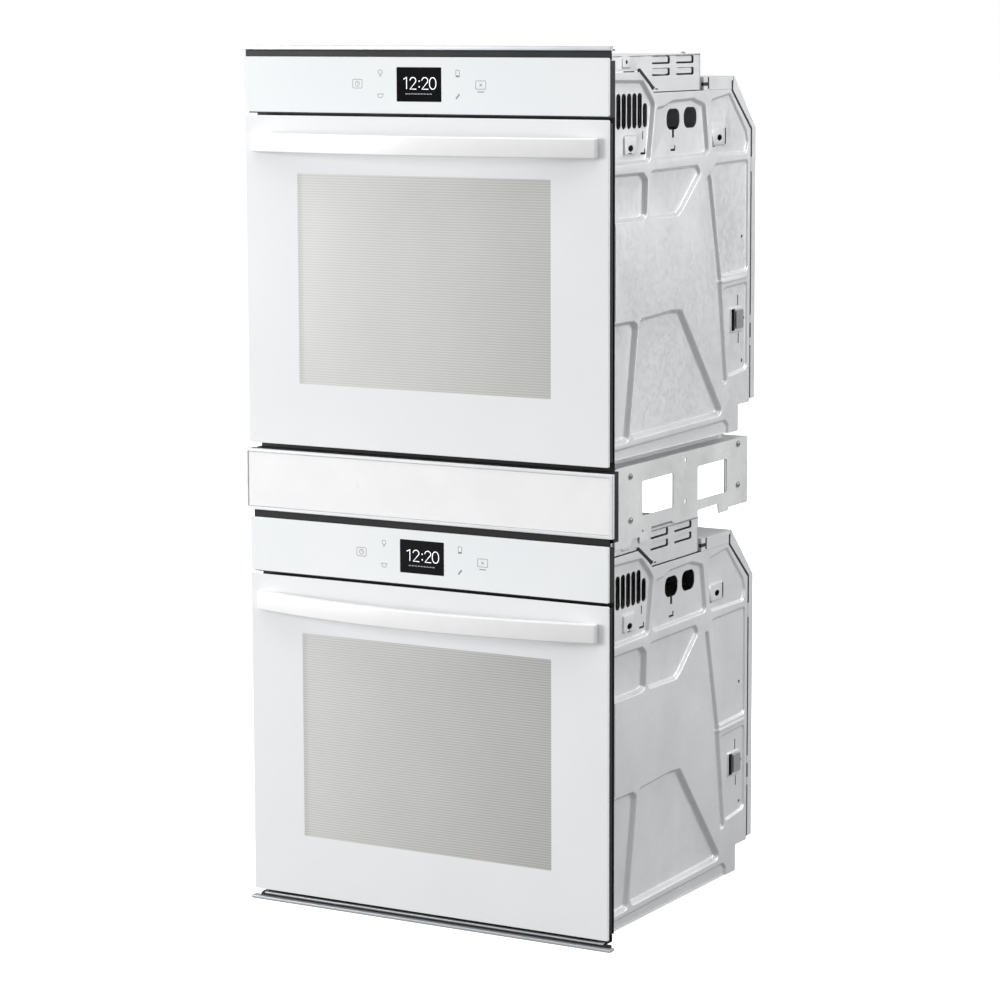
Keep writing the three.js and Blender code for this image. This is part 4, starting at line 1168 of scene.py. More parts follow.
class Trees:
    """The oven's three trees: screws, bent wires with bars, and rows of curved blades."""

    def __init__(self) -> None:
        """Builds the trees."""
        self.screws = self._screws()
        self.wires = self._wires()
        self.blades = self._blades()

    @staticmethod
    def _screws() -> Tree:
        """A washer-head screw with a cross recess at each point, turned to its facing.

        Returns:
            The tree.
        """
        tree = Tree("screw_heads", {"Radius": ("Float", 0.005), "Height": ("Float", 0.003)})
        w, radius, height = tree.wiring, tree.given["Radius"], tree.given["Height"]
        washer = w.add("GeometryNodeMeshCylinder", {"Vertices": 18, "Radius": radius, "Depth":
                                                    w.maths("MULTIPLY", height, 0.6)})
        crown = w.add("GeometryNodeMeshCone", {
            "Vertices": 18, "Radius Bottom": w.maths("MULTIPLY", radius, 0.72),
            "Radius Top": w.maths("MULTIPLY", radius, 0.5), "Depth": height})
        arms = []
        for along, over in ((1.0, 0.2), (0.2, 1.0)):
            size = w.add("ShaderNodeCombineXYZ", {0: w.maths("MULTIPLY", radius, along * 0.8),
                                                  1: w.maths("MULTIPLY", radius, over * 0.8),
                                                  2: height})
            arm = w.add("GeometryNodeMeshCube", {"Size": size.outputs[0]})
            lift = w.add("ShaderNodeCombineXYZ", {2: w.maths("MULTIPLY", height, 1.1)})
            arms.append(w.add("GeometryNodeTransform", {"Geometry": arm.outputs[0],
                                                        "Translation": lift.outputs[0]}))
        head = w.add("GeometryNodeMeshBoolean", {"Mesh 1": crown.outputs[0]},
                     operation="DIFFERENCE")
        for arm in arms:
            w.tree.links.new(arm.outputs[0], head.inputs["Mesh 2"])
        whole = w.add("GeometryNodeJoinGeometry")
        w.tree.links.new(washer.outputs[0], whole.inputs[0])
        w.tree.links.new(head.outputs[0], whole.inputs[0])
        facing = w.add("GeometryNodeInputNamedAttribute", {"Name": "facing"},
                       data_type="FLOAT_VECTOR")
        turn = w.add("FunctionNodeAlignRotationToVector", {"Vector": facing.outputs[0]}, axis="Z")
        copies = w.add("GeometryNodeInstanceOnPoints", {
            "Points": tree.given["Geometry"], "Instance": whole.outputs[0],
            "Rotation": turn.outputs[0]})
        tree.end([copies.outputs[0]])
        return tree

    @staticmethod
    def _wires() -> Tree:
        """Tubes along the base mesh's lines, and a row of straight bars.

        Returns:
            The tree.
        """
        tree = Tree("bent_wires", {
            "Wire": ("Float", 0.003), "Bend": ("Float", 0.01), "Bars": ("Int", 0),
            "First": ("Vector", (0.0, 0.0, 0.0)), "Pitch": ("Vector", (0.0, 0.0, 0.0)),
            "Bar": ("Vector", (0.0, 0.0, 0.0)), "Bar Wire": ("Float", 0.0015)})
        w, given = tree.wiring, tree.given
        line = w.add("GeometryNodeMeshToCurve", {0: given["Geometry"]})
        bent = w.add("GeometryNodeFilletCurve", {"Curve": line.outputs[0], "Count": 6,
                                                 "Radius": given["Bend"], "Limit Radius": True},
                     mode="POLY")
        tubes = []
        bar = w.add("GeometryNodeCurvePrimitiveLine", {"End": given["Bar"]})
        row = w.add("GeometryNodeMeshLine", {"Count": given["Bars"], "Start Location": given["First"],
                                             "Offset": given["Pitch"]})
        bars = w.add("GeometryNodeInstanceOnPoints", {"Points": row.outputs[0],
                                                      "Instance": bar.outputs[0]})
        bars = w.add("GeometryNodeRealizeInstances", {0: bars.outputs[0]})
        for path, radius, sides in ((bent, given["Wire"], 12), (bars, given["Bar Wire"], 8)):
            section = w.add("GeometryNodeCurvePrimitiveCircle", {"Resolution": sides,
                                                                 "Radius": radius})
            tubes.append(w.add("GeometryNodeCurveToMesh", {
                "Curve": path.outputs[0], "Profile Curve": section.outputs[0],
                "Fill Caps": True}).outputs[0])
        tree.end(tubes)
        return tree

    @staticmethod
    def _blades() -> Tree:
        """A row of blades, each curved across its width.

        Returns:
            The tree.
        """
        tree = Tree("curved_blades", {
            "Count": ("Int", 6), "First": ("Vector", (0.0, 0.0, 0.0)),
            "Pitch": ("Vector", (0.0, 0.0, 0.0)), "Turn": ("Vector", (0.0, 0.0, 0.0)),
            "Radius": ("Float", 0.01), "Sweep": ("Float", 1.2), "Length": ("Float", 0.05),
            "Gauge": ("Float", 0.0008)})
        w, given = tree.wiring, tree.given
        arc = w.add("GeometryNodeCurveArc", {"Resolution": 7, "Radius": given["Radius"],
                                             "Sweep Angle": given["Sweep"]})
        section = w.add("GeometryNodeCurvePrimitiveQuadrilateral", {"Width": given["Gauge"],
                                                                    "Height": given["Length"]})
        blade = w.add("GeometryNodeCurveToMesh", {"Curve": arc.outputs[0], "Profile Curve":
                                                  section.outputs[0], "Fill Caps": True})
        row = w.add("GeometryNodeMeshLine", {"Count": given["Count"],
                                             "Start Location": given["First"],
                                             "Offset": given["Pitch"]})
        turn = w.add("FunctionNodeEulerToRotation", {0: given["Turn"]})
        copies = w.add("GeometryNodeInstanceOnPoints", {
            "Points": row.outputs[0], "Instance": blade.outputs[0], "Rotation": turn.outputs[0]})
        tree.end([copies.outputs[0]])
        return tree


@dataclass
class Workshop:
    """What every sub-assembly needs: the finishes, the trees and the screws asked for so far."""

    finishes: Finishes
    trees: Trees
    screws: dict[str, list[tuple[Vector, Vector]]] = field(default_factory=dict)
    head_radius: float = 4.6
    head_height: float = 2.4

    def screw(self, body: str, point: Vector, facing: Vector) -> None:
        """Asks for a screw head on a body."""
        self.screws.setdefault(body, []).append((point, facing))

    def drive_screws(self) -> None:
        """Makes the screw heads, one piece for each body."""
        for body, places in self.screws.items():
            piece = self.trees.screws.grow(
                f"{body}_screws", self.finishes["screw_zinc"],
                {"Radius": self.head_radius * MM, "Height": self.head_height * MM},
                points=[point for point, _ in places], facing=[facing for _, facing in places])
            seat(piece, body, "bare_steel")


@dataclass
class Assembly:
    """A sub-assembly of one oven: where it stands and what it is made with."""

    place: Place
    shop: Workshop

    def own(self, word: str) -> str:
        """The name of one of this oven's own nodes, bodies or pieces."""
        return f"{self.place.prefix}_{word}"

    def finish(self, name: str) -> Material:
        """The material of that name."""
        return self.shop.finishes[name]


# ---- door

@dataclass
class Door(Assembly):
    """Door glass with its printed window over painted shade, and the bowed handle."""

    window: tuple[Pair, Pair] = ((-211.3, 87.2), (209.7, 394.4))
    window_corner: float = 1.5
    corner: float = 2.0
    edge: float = 0.6
    bar_depth: float = 12.0
    foot: float = 24.0
    end_depth: float = 9.0
    handle_edge: float = 2.4
    handle_gap: float = 0.3
    stations: int = 40

    def build(self) -> None:
        """Builds and seats the pieces of the door."""
        body = self.own("door")
        seat(self.glass(), body, "white_glass", self.own("door_glass"))
        seat(self.handle(), body, "white_paint", self.own("handle"))

    def glass(self) -> Object:
        """The slab of glass: white print around a window of fine lines over painted shade.

        Returns:
            The new object.
        """
        low, high = self.place.reach("door_glass")
        window = rounded(rectangle(*self.window), self.window_corner)
        loops = [(window, low.y), *slab(low, high, self.corner, self.edge), (window, high.y)]
        shape = Shape()
        shape.loft([self.place.ring(loop, y) for loop, y in loops], 0, 1)
        finishes = self.shop.finishes
        return shape.object(self.own("door_glass_printed"),
                            [finishes["white_glass"], finishes["window_print_and_shade"]])

    def handle(self) -> Object:
        """The bar: a rounded section whose front and back follow two bows.

        Returns:
            The new object.
        """
        low, high = self.place.reach("handle")
        reach, half = -low.y, high.x
        inner_half = half - self.foot

        def bow(depth: float, start: float, share: float) -> float:
            """Depth of a bow at a share of its half length."""
            return start - (depth + start) * (1 - share * share)

        rings = []
        for x, pull in self._stations(half):
            share = x / half
            front = bow(reach, -self.end_depth, share)
            back = bow(reach - self.bar_depth, -self.handle_gap, min(abs(x) / inner_half, 1.0))
            outline = rounded(rectangle((front, low.z), (back, high.z)), self.handle_edge, -pull)
            rings.append([self.place.at(x, y, z) for y, z in outline])
        shape = Shape()
        shape.loft(rings)
        return shape.object(self.own("handle_bar"), [self.finish("white_paint")],
                            50.0)

    def _stations(self, half: float) -> list[Pair]:
        """Places along the bar, each with how far its section is drawn in.

        Args:
            half: half of the bar's length.

        Returns:
            The x of each place, and how far its section is drawn in.
        """
        edge = self.handle_edge
        turns = (0.15, 0.45, 0.8, math.pi / 2)
        end = [(half - edge * (1 - math.cos(t - 0.15)), edge * (1 - math.sin(t))) for t in turns]
        inner = half - edge
        middle = [(inner * math.sin(math.pi / 2 * (2 * i / self.stations - 1)), 0.0)
                  for i in range(1, self.stations)]
        return [(-x, pull) for x, pull in end] + middle + end[::-1]


# ---- control panel

@dataclass
class ControlPanel(Assembly):
    """Glass control panel with printed touch marks and a lit display."""

    edge: float = 0.6
    corner: float = 2.0
    print_height: float = 0.08
    line: float = 0.75
    digits: tuple[Pair, Pair] = ((-30.2, 517.8), (25.4, 534.2))
    bar: tuple[Pair, Pair] = ((-25.9, 510.4), (19.0, 511.6))
    block_depth: float = 5.0
    digit_line: float = 1.15

    def build(self) -> None:
        """Builds and seats the pieces of the panel."""
        prefix, body = self.place.prefix, "casing"
        seat(self.glass(), body, "white_glass", f"{prefix}_control_panel")
        seat(self.display(), body, "display", f"{prefix}_display_module")
        seat(self.touch_marks(), body, "white_glass")
        seat(self.time(), body, "display")
        seat(self.divider(), body, "display")

    def _flat(self, face: float) -> Put:
        """Puts (x, z, height) on a front face, with height towards the viewer."""
        return lambda x, z, height: self.place.at(x, face - height, z)

    def glass(self) -> Object:
        """The panel's glass, cut out round the display.

        Returns:
            The new object.
        """
        low, high = self.place.reach("control_panel")
        hole_low, hole_high = self.place.reach("display_module")
        hole = rounded(rectangle((hole_low.x - 0.3, hole_low.z - 0.3),
                                 (hole_high.x + 0.3, hole_high.z + 0.3)), 1.0)
        loops = [(hole, low.y), *slab(low, high, self.corner, self.edge), (hole, high.y)]
        shape = Shape()
        shape.loft([self.place.ring(loop, y) for loop, y in loops], closed=True)
        return shape.object(self.own("control_glass"),
                            [self.finish("panel_glass")])

    def display(self) -> Object:
        """Black display block, flush in its cut-out, with its module behind.

        Returns:
            The new object.
        """
        low, high = self.place.reach("display_module")
        put = self._flat(low.y)
        face = rounded(rectangle((low.x, low.z), (high.x, high.z)), 1.0)
        shape = Shape()
        shape.prism(face, put, -self.block_depth, 0.1, 0.2)
        module = rounded(rectangle((low.x + 2, low.z + 2), (high.x - 2, high.z - 2)), 2.0)
        shape.prism(module, put, low.y - high.y, -self.block_depth - 0.2, 0.4)
        return shape.object(self.own("display_block"), [self.finish("display")])

    def _stroke(self, shape: Shape, line: Sequence[Pair], width: Optional[float] = None,
                closed: bool = False, face: float = 0.0) -> None:
        """Adds a printed line as one flat band.

        Args:
            shape: that the band is added to.
            line: middle of the band, as (x, z).
            width: of the band, or the usual one.
            closed: joins the last point to the first.
            face: depth of the printed face.
        """
        put = self._flat(face)
        thick = width or self.line
        if closed:
            out, within = inset(line, -thick / 2), inset(line, thick / 2)
            levels = ((out, 0.0), (out, self.print_height), (within, self.print_height), (within, 0.0))
            shape.loft([[put(x, z, height) for x, z in loop] for loop, height in levels], closed=True)
        else:
            shape.prism(strip(line, thick), put, 0.0, self.print_height)

    def touch_marks(self) -> Object:
        """The printed marks of the touch keys, all of them plain signs.

        Returns:
            The new object.
        """
        shape = Shape()
        self._clock_mark(shape, (-106.5, 524.7))
        self._lamp_mark(shape, (-67.8, 540.5))
        self._pan_mark(shape, (-67.8, 508.0))
        self._tray_mark(shape, (60.4, 540.2))
        self._stroke(shape, [(57.6, 504.6), (63.2, 511.2)], 2.2)
        self._cancel_mark(shape, (98.0, 524.3))
        return shape.object(self.own("touch_marks"), [self.finish("ink")])

    def _clock_mark(self, shape: Shape, middle: Pair) -> None:
        """A box with a clock face in it.

        Args:
            shape: that the mark is added to.
            middle: of the mark, as (x, z).
        """
        x, z = middle
        box = rounded(rectangle((x - 8, z - 6.2), (x + 8, z + 6.2)), 2.0)
        self._stroke(shape, box, closed=True)
        self._stroke(shape, circle((x, z), 3.6, 18), closed=True)
        self._stroke(shape, [(x, z + 2.4), (x, z), (x + 1.6, z)], 0.6)

    def _lamp_mark(self, shape: Shape, middle: Pair) -> None:
        """A lamp with its socket under it.

        Args:
            shape: that the mark is added to.
            middle: of the mark, as (x, z).
        """
        x, z = middle
        self._stroke(shape, circle((x, z + 1.0), 3.2, 18), closed=True)
        for drop in (3.4, 4.8):
            self._stroke(shape, [(x - 1.5, z - drop), (x + 1.5, z - drop)])

    def _pan_mark(self, shape: Shape, middle: Pair) -> None:
        """A shallow pan with two ears.

        Args:
            shape: that the mark is added to.
            middle: of the mark, as (x, z).
        """
        x, z = middle
        bowl = [(x - 4, z + 2.4), (x - 4, z), (x - 2.6, z - 2.8), (x + 2.6, z - 2.8), (x + 4, z),
                (x + 4, z + 2.4)]
        self._stroke(shape, bowl, closed=True)
        self._stroke(shape, [(x - 5.6, z + 2.4), (x - 4, z + 2.4)])
        self._stroke(shape, [(x + 4, z + 2.4), (x + 5.6, z + 2.4)])

    def _tray_mark(self, shape: Shape, middle: Pair) -> None:
        """An upright box with a solid foot.

        Args:
            shape: that the mark is added to.
            middle: of the mark, as (x, z).
        """
        x, z = middle
        box = rounded(rectangle((x - 2.9, z - 3.2), (x + 2.9, z + 4.6)), 1.0, steps=2)
        self._stroke(shape, box, closed=True)
        self._stroke(shape, [(x - 3.0, z - 4.3), (x + 3.0, z - 4.3)], 1.7)

    def _cancel_mark(self, shape: Shape, middle: Pair) -> None:
        """A box with a cross in it and a bar under it.

        Args:
            shape: that the mark is added to.
            middle: of the mark, as (x, z).
        """
        x, z = middle
        box = rounded(rectangle((x - 8.2, z - 5.8), (x + 8.2, z + 5.8)), 1.2, steps=2)
        self._stroke(shape, box, closed=True)
        for way in (-1, 1):
            self._stroke(shape, [(x - 2, z - 2 * way), (x + 2, z + 2 * way)])
        self._stroke(shape, [(x - 5.4, z - 9.6), (x + 5.4, z - 9.6)], 1.3)

    def time(self) -> Object:
        """The clock's digits, drawn as bent strokes.

        Returns:
            The new object.
        """
        (left, low), (right, high) = self.digits
        face = self.place.reach("display_module")[0].y - 0.1
        tall = high - low
        wide = (right - left) * 0.2
        two = [(0.04, 0.74), *arc_points((0.5, 0.74), (0.44, 0.26), 165, -25, 10), (0.05, 0.0),
               (1.0, 0.0)]
        zero = [(0.5 + 0.48 * math.cos(t), 0.5 + 0.5 * math.copysign(abs(math.sin(t)) ** 0.85,
                                                                   math.sin(t)))
                for t in (math.pi * k / 14 for k in range(28))]
        signs = ((0.0, [(0.08, 0.84), (0.56, 1.0), (0.56, 0.0)], False), (0.203, two, False),
                 (0.558, two, False), (0.79, zero, True))
        shape = Shape()
        for start, line, closed in signs:
            origin = left + start * (right - left)
            points = [(origin + u * wide, low + v * tall) for u, v in line]
            self._stroke(shape, points, self.digit_line, closed, face)
        for share in (0.19, 0.69):
            spot = (left + 0.487 * (right - left), low + share * tall)
            shape.prism(circle(spot, 1.05, 14), self._flat(face), 0.0, self.print_height)
        return shape.object(self.own("clock_digits"), [self.finish("glow")])

    def divider(self) -> Object:
        """A dim dashed bar under the digits.

        Returns:
            The new object.
        """
        (left, low), (right, high) = self.bar
        put = self._flat(self.place.reach("display_module")[0].y - 0.1)
        dashes = 9
        pitch = (right - left) / dashes
        shape = Shape()
        for i in range(dashes):
            start = left + i * pitch
            shape.prism(rectangle((start, low), (start + pitch * 0.72, high)), put, 0.0,
                        self.print_height)
        return shape.object(self.own("display_bar"), [self.finish("dim_glow")])


# ---- casing

@dataclass
class SidePanel(Assembly):
    """A pressed side panel with its slots, ports and clip."""

    side: Side
    louvre: tuple[float, float, float] = (38.4, 16.0, 13.4)
    louvre_span: Pair = (463.0, 512.5)
    short_span: Pair = (464.0, 498.0)
    ports: tuple[Pair, Pair] = ((221.0, 473.0), (275.5, 474.0))
    port_size: Pair = (41.5, 30.0)
    slot_count: int = 7

    def outline(self) -> list[Pair]:
        """The panel's outline, from the size of its CAD node.

        Returns:
            The closed outline, as (y, z).
        """
        low, high = self.place.reach("side_panel_right")
        front, back, top = low.y, high.y, high.z
        corners = [(front, 0.0), (back - 38, 0.0), (back - 38, 40.0), (back, 40.0),
                   (back, top - 89), (back - 66, top - 30), (150.0, top - 30),
                   (112.0, top), (front, top)]
        return rounded(corners, 2.5, steps=3)

    def pressings(self) -> list[Pressing]:
        """The pans and grooves.

        Returns:
            The pressings, as (y, z).
        """
        upper = [
            Pressing([(20, 530), (118, 528), (147, 503), (153, 496), (138, 417), (20, 415)], 6.0),
            Pressing([(161, 490), (185, 491), (208, 498), (277, 500), (314, 491), (326, 420),
                      (150, 418)], 5.5),
            Pressing([(333, 497), (396, 505), (452, 450), (459, 433), (452, 417), (341, 418)], 3.0,
                     5.0, 6.0),
            Pressing([(20, 399), (120, 399), (132, 390), (129, 340), (118, 336), (20, 336)], 8.0,
                     radius=6.0),
            Pressing([(144, 401), (290, 403), (301, 393), (243, 345), (228, 336), (137, 337)], 5.0),
            Pressing([(20, 333), (35, 333), (35, 194), (20, 194)], 4.5, 4.0, 4.0),
        ]
        lower = [
            Pressing([(112, 192), (212, 197), (241, 195), (372, 38), (366, 32), (86, 28)], 8.0, 8.0),
            Pressing([(20, 191), (90, 191), (103, 186), (75, 28), (68, 25), (20, 25)], 8.0, 7.0),
            Pressing([(345, 403), (456, 405), (459, 400), (459, 245), (455, 241), (372, 238)], 3.0,
                     5.0, 6.0),
            Pressing([(376, 218), (455, 222), (459, 218), (459, 97), (452, 92), (395, 86)], 3.0,
                     5.0, 6.0),
            Pressing([(20, 14), (387, 20), (397, 12), (395, -6), (20, -6)], 4.0, 5.0, 5.0),
        ]
        groove = strip([(327, 387), (338, 340), (362, 235), (384, 76)], 12.0)
        return [*upper, *lower, Pressing(groove, 5.0, 5.0, 5.5)]

    def bosses(self) -> list[Pressing]:
        """Small raised pads, on the pans.

        Returns:
            The bosses, as (y, z).
        """
        return [
            Pressing(rectangle((68, 427), (106, 454)), -3.0, 3.0, 4.0),
            Pressing(rectangle((337, 431), (385, 457)), -3.0, 3.0, 4.0),
            Pressing(rectangle((405, 150), (445, 187)), -2.0, 3.0, 3.0),
            Pressing([(365, 226), (457, 229), (457, 234), (366, 231)], -1.5, 2.0, 2.0),
        ]

    def holes(self) -> list[list[Pair]]:
        """Slots, ports and small holes.

        Returns:
            The closed loops, as (y, z).
        """
        first, pitch, width = self.louvre
        found = []
        for i in range(self.slot_count):
            middle = first + i * pitch
            low, high = self.short_span if i == self.slot_count - 1 else self.louvre_span
            found.append(rounded(rectangle((middle - width / 2, low), (middle + width / 2, high)),
                                 width * 0.45))
        wide, tall = self.port_size
        for y, z in self.ports:
            found.append(rounded(rectangle((y - wide / 2, z - tall / 2), (y + wide / 2, z + tall / 2)),
                                 tall * 0.42, steps=8))
        slots = [((217.8, 446.5), (224.2, 460)), ((126, 447), (129, 459)),
                 ((430.5, 189), (433.5, 205)), ((433.5, 132), (436.5, 148)),
                 ((407, 152), (419, 185)), ((379, 431), (383, 456)), ((103, 429), (107, 453)),
                 ((342, 429), (352, 430.4)), ((78, 428), (90, 429.4))]
        found += [rounded(rectangle(*slot), 1.2, steps=3) for slot in slots]
        for y, z in ((121.0, 426.0), (213.5, 427.5)):
            found.append([(y, z), (y + 15, z), (y + 15, z + 8), (y + 11.5, z + 8),
                          (y + 11.5, z + 3), (y, z + 3)])
        for y, z in ((86, 436), (362, 442)):
            found.append(arc_points((y, z), (7.6, 4.6), 0, 342, 19))
        spots = [(445, 292, 2.6), (447, 105, 2.6), (453, 169, 2.2)]
        return found + [circle((y, z), radius) for y, z, radius in spots]

    def _put(self) -> Put:
        """Puts (y, z, height) on the panel, with height away from the oven."""
        return self.place.outward(self.side, self.place.reach("side_panel_right")[1].x)

    def build(self) -> None:
        """Builds and seats the panel, the blades in its slots, its clip and the black bands that paint
        the shade in its seams.
        """
        word = self.side.name.lower()
        name = self.own(f"side_panel_{word}")
        steel = self.finish("galvanised")
        sheet = Sheet(self.outline(), self.pressings(), self.bosses(), self.holes())
        seat(sheet.build(f"{name}_pressed", self._put(), steel), "casing", "galvanised", name)
        seat(self.blades(f"{name}_blades"), "casing", "black_frame")
        seat(self.clip(f"{name}_clip"), "casing", "bare_steel")
        seat(self.gasket(f"{name}_gasket"), "casing", "seal_rubber")

    def blades(self, name: str) -> Object:
        """Curved blades turned in behind the slots, in black: painted shade, where the slots look dark.

        Args:
            name: the piece's name.

        Returns:
            The new object.
        """
        first, pitch, width = self.louvre
        middle_z = sum(self.louvre_span) / 2
        length = self.louvre_span[1] - self.louvre_span[0]
        put = self._put()
        # The black finish on the blades paints the shade behind the slots.
        return self.shop.trees.blades.grow(name, self.finish("black_frame"), {
            "Count": self.slot_count - 1, "First": put(first + pitch - width / 2, middle_z, -16.0),
            "Pitch": put(pitch, 0, 0) - put(0, 0, 0), "Turn": (0.0, 0.0, 0.6 * self.side.value),
            "Radius": 11.0 * MM, "Sweep": 0.9, "Length": length * MM, "Gauge": 0.8 * MM})

    def clip(self, name: str) -> Object:
        """A sprung flap over the rear slot.

        Args:
            name: the piece's name.

        Returns:
            The new object.
        """
        shape = Shape()
        flap = rounded(rectangle((419, 155), (443, 183)), 2.0)
        shape.prism(flap, self._put(), 0.6, 1.8, 0.3)
        return shape.object(name, [self.finish("bare_steel")])

    def gasket(self, name: str) -> Object:
        """Black bands in the seam to the back cover and along the duct: painted shade in the gaps
        between the sheets.

        Args:
            name: the piece's name.

        Returns:
            The new object.
        """
        _, high = self.place.reach("side_panel_right")
        seam, top = high.y + 1.2, high.z
        bands = [([(seam - 66, top - 17), (seam - 66, top - 32), (seam, top - 90), (seam, 410)], 4.0),
                 ([(seam, 388), (seam, 172)], 3.0), ([(seam, 160), (seam, 138)], 3.6),
                 ([(seam, 126), (seam, 46)], 2.6), ([(106.5, 544.5), (148.5, 518.5)], 5.4),
                 ([(306, 521), (322, 521)], 5.0), ([(323.5, 514), (323.5, 531)], 3.6)]
        shape = Shape()
        # Each band is a black strip that paints the shade of a gap at the panel's edge.
        for line, width in bands:
            shape.prism(strip(line, width), self._put(), -3.0, 0.5, 0.2)
        return shape.object(name, [self.finish("black_frame")])


@dataclass
class VentDuct(Assembly):
    """Sheet-metal duct over the front of the casing, with pressed slots in its sides."""

    slot: Pair = (56.0, 11.0)
    slot_starts: Pair = (149.5, 225.0)
    slot_lows: Pair = (535.5, 552.0)

    def build(self) -> None:
        """Builds and seats the duct as one piece."""
        low, high = self.place.reach("vent_duct")
        pieces = [self._side(side, low, high) for side in Side]
        pieces += [self._roof(low, high), self._rear(low, high)]
        duct = merged(self.own("vent_duct_pressed"), pieces)
        seat(duct, "casing", "galvanised", self.own("vent_duct"))
        up = Vector((0.0, 0.0, 1.0))
        for x in (-270, -90, 90, 270):
            self.shop.screw("casing", self.place.at(x, high.y - 14, high.z - 0.2), up)

    def _side(self, side: Side, low: Vector, high: Vector) -> Object:
        """One side with four pressed slots and a square boss.

        Args:
            side: which of the two.
            low: lowest corner of the duct's node.
            high: its highest corner.

        Returns:
            The new object.
        """
        outline = [(low.y, 543.3), (113.3, 543.3), (151.3, low.z), (high.y, low.z),
                   (high.y, high.z), (low.y, high.z)]
        wide, tall = self.slot
        starts = [(y, z) for y in self.slot_starts for z in self.slot_lows]
        slots = [rounded(rectangle((y, z), (y + wide, z + tall)), 2.6, steps=3) for y, z in starts]
        boss = Pressing(rectangle((58, 548), (82, 563)), -1.6, 2.4, 2.5)
        holes = [circle((70, 556), 3.0, 16), circle((156, 519), 2.2, 12),
                 rounded(rectangle((160, 516), (168, 518)), 0.8, steps=2)]
        sheet = Sheet(rounded(outline, 1.5, steps=3), (), [boss], [*holes, *slots])
        put = self.place.outward(side, high.x - 0.9)
        steel = self.finish("galvanised")
        flaps = Shape()
        for y, z in starts:
            flap = rounded(rectangle((y - 2, z + 2.4), (y + wide - 3.5, z + tall - 0.6)), 2.0, steps=3)
            flaps.prism(flap, put, -2.6, -1.8, 0.2)
        return merged("duct_side", [sheet.build("duct_sheet", put, steel),
                                    flaps.object("duct_flaps", [steel])])

    def _roof(self, low: Vector, high: Vector) -> Object:
        """The top with long stiffening beads.

        Args:
            low: lowest corner of the duct's node.
            high: its highest corner.

        Returns:
            The new object.
        """
        edge = high.x - 0.9
        beads = [Pressing(rectangle((x - 55, y), (x + 55, y + 12)), -1.6, 5.0, 5.5)
                 for y in (60, 230) for x in (-210, -70, 70, 210)]
        beads += [Pressing(rectangle((-250, 110), (250, 190)), 1.8, 7.0, 12.0)]
        sheet = Sheet(rectangle((-edge, low.y), (edge, high.y)), (), beads, ())
        return sheet.build("duct_roof", lambda x, y, height: self.place.at(
            x, y, high.z - 1.7 + height), self.finish("galvanised"))

    def _rear(self, low: Vector, high: Vector) -> Object:
        """The rear wall with a row of slots.

        Args:
            low: lowest corner of the duct's node.
            high: its highest corner.

        Returns:
            The new object.
        """
        edge = high.x - 0.9
        holes = [rounded(rectangle((x - 26, 535), (x + 26, 541)), 2.8) for x in range(-210, 211, 70)]
        sheet = Sheet(rectangle((-edge, low.z), (edge, high.z - 1.0)), (), (), holes)
        return sheet.build("duct_rear", lambda x, z, height: self.place.at(
            x, high.y - 1.0 + height, z), self.finish("galvanised"))


def merged(name: str, pieces: Sequence[Object]) -> Object:
    """One object from several, with their own normals kept.

    Args:
        name: of the joined object.
        pieces: that are joined into the first.

    Returns:
        The joined object.
    """
    with bpy.context.temp_override(active_object=pieces[0], selected_editable_objects=list(pieces),
                                   selected_objects=list(pieces), object=pieces[0]):
        bpy.ops.object.join()
    whole = pieces[0]
    whole.name = name
    whole.data.name = name
    return whole


@dataclass
class Insulation(Assembly):
    """Glass-wool blanket wrapped round the cavity; its dark tone also paints the shade seen through the
    slots and ports.
    """

    loft_depth: float = 22.0
    fluff: float = 2.5
    inside_edge: float = 18.0
    front_gap: float = 8.0
    back_gap: float = 12.0
    corner: float = 12.0
    middle: float = 241.0

    def build(self) -> None:
        """Builds and seats the blanket."""
        low, high = self.place.reach("cavity")
        edge = self.inside_edge
        walls = rectangle((low.x + edge, low.z + edge), (high.x - edge, high.z - edge))
        front, back = low.y + self.front_gap, high.y - self.back_gap
        stations = [front + (back - front) * i / 16 for i in range(17)]
        inner = rounded(walls, self.corner, 2.0, 12)
        rings = [self.place.ring(inner, y) for y in (stations[-1], stations[0])]
        for y in stations:
            outer = rounded(walls, self.corner, self.loft_depth, 12)
            rings.append([self.place.at(*self._fluffed(x, y, z)) for x, z in outer])
        shape = Shape()
        shape.loft(rings, closed=True)
        piece = shape.object(self.own("insulation"), [self.finish("blanket")], 80.0)
        seat(piece, "casing", "seal_rubber")

    def _fluffed(self, x: float, y: float, z: float) -> tuple[float, float, float]:
        """A point of the blanket's face, pushed in where it is tied.

        Args:
            x: of the point.
            y: of the point.
            z: of the point.

        Returns:
            The moved point.
        """
        soft = math.sin(x * 0.031) * math.sin(z * 0.027 + 1.0) + math.sin(y * 0.053)
        share = 1 - self.fluff * (0.5 + 0.25 * soft) / 250
        return x * share, y, self.middle + (z - self.middle) * share


# ---- cavity fittings

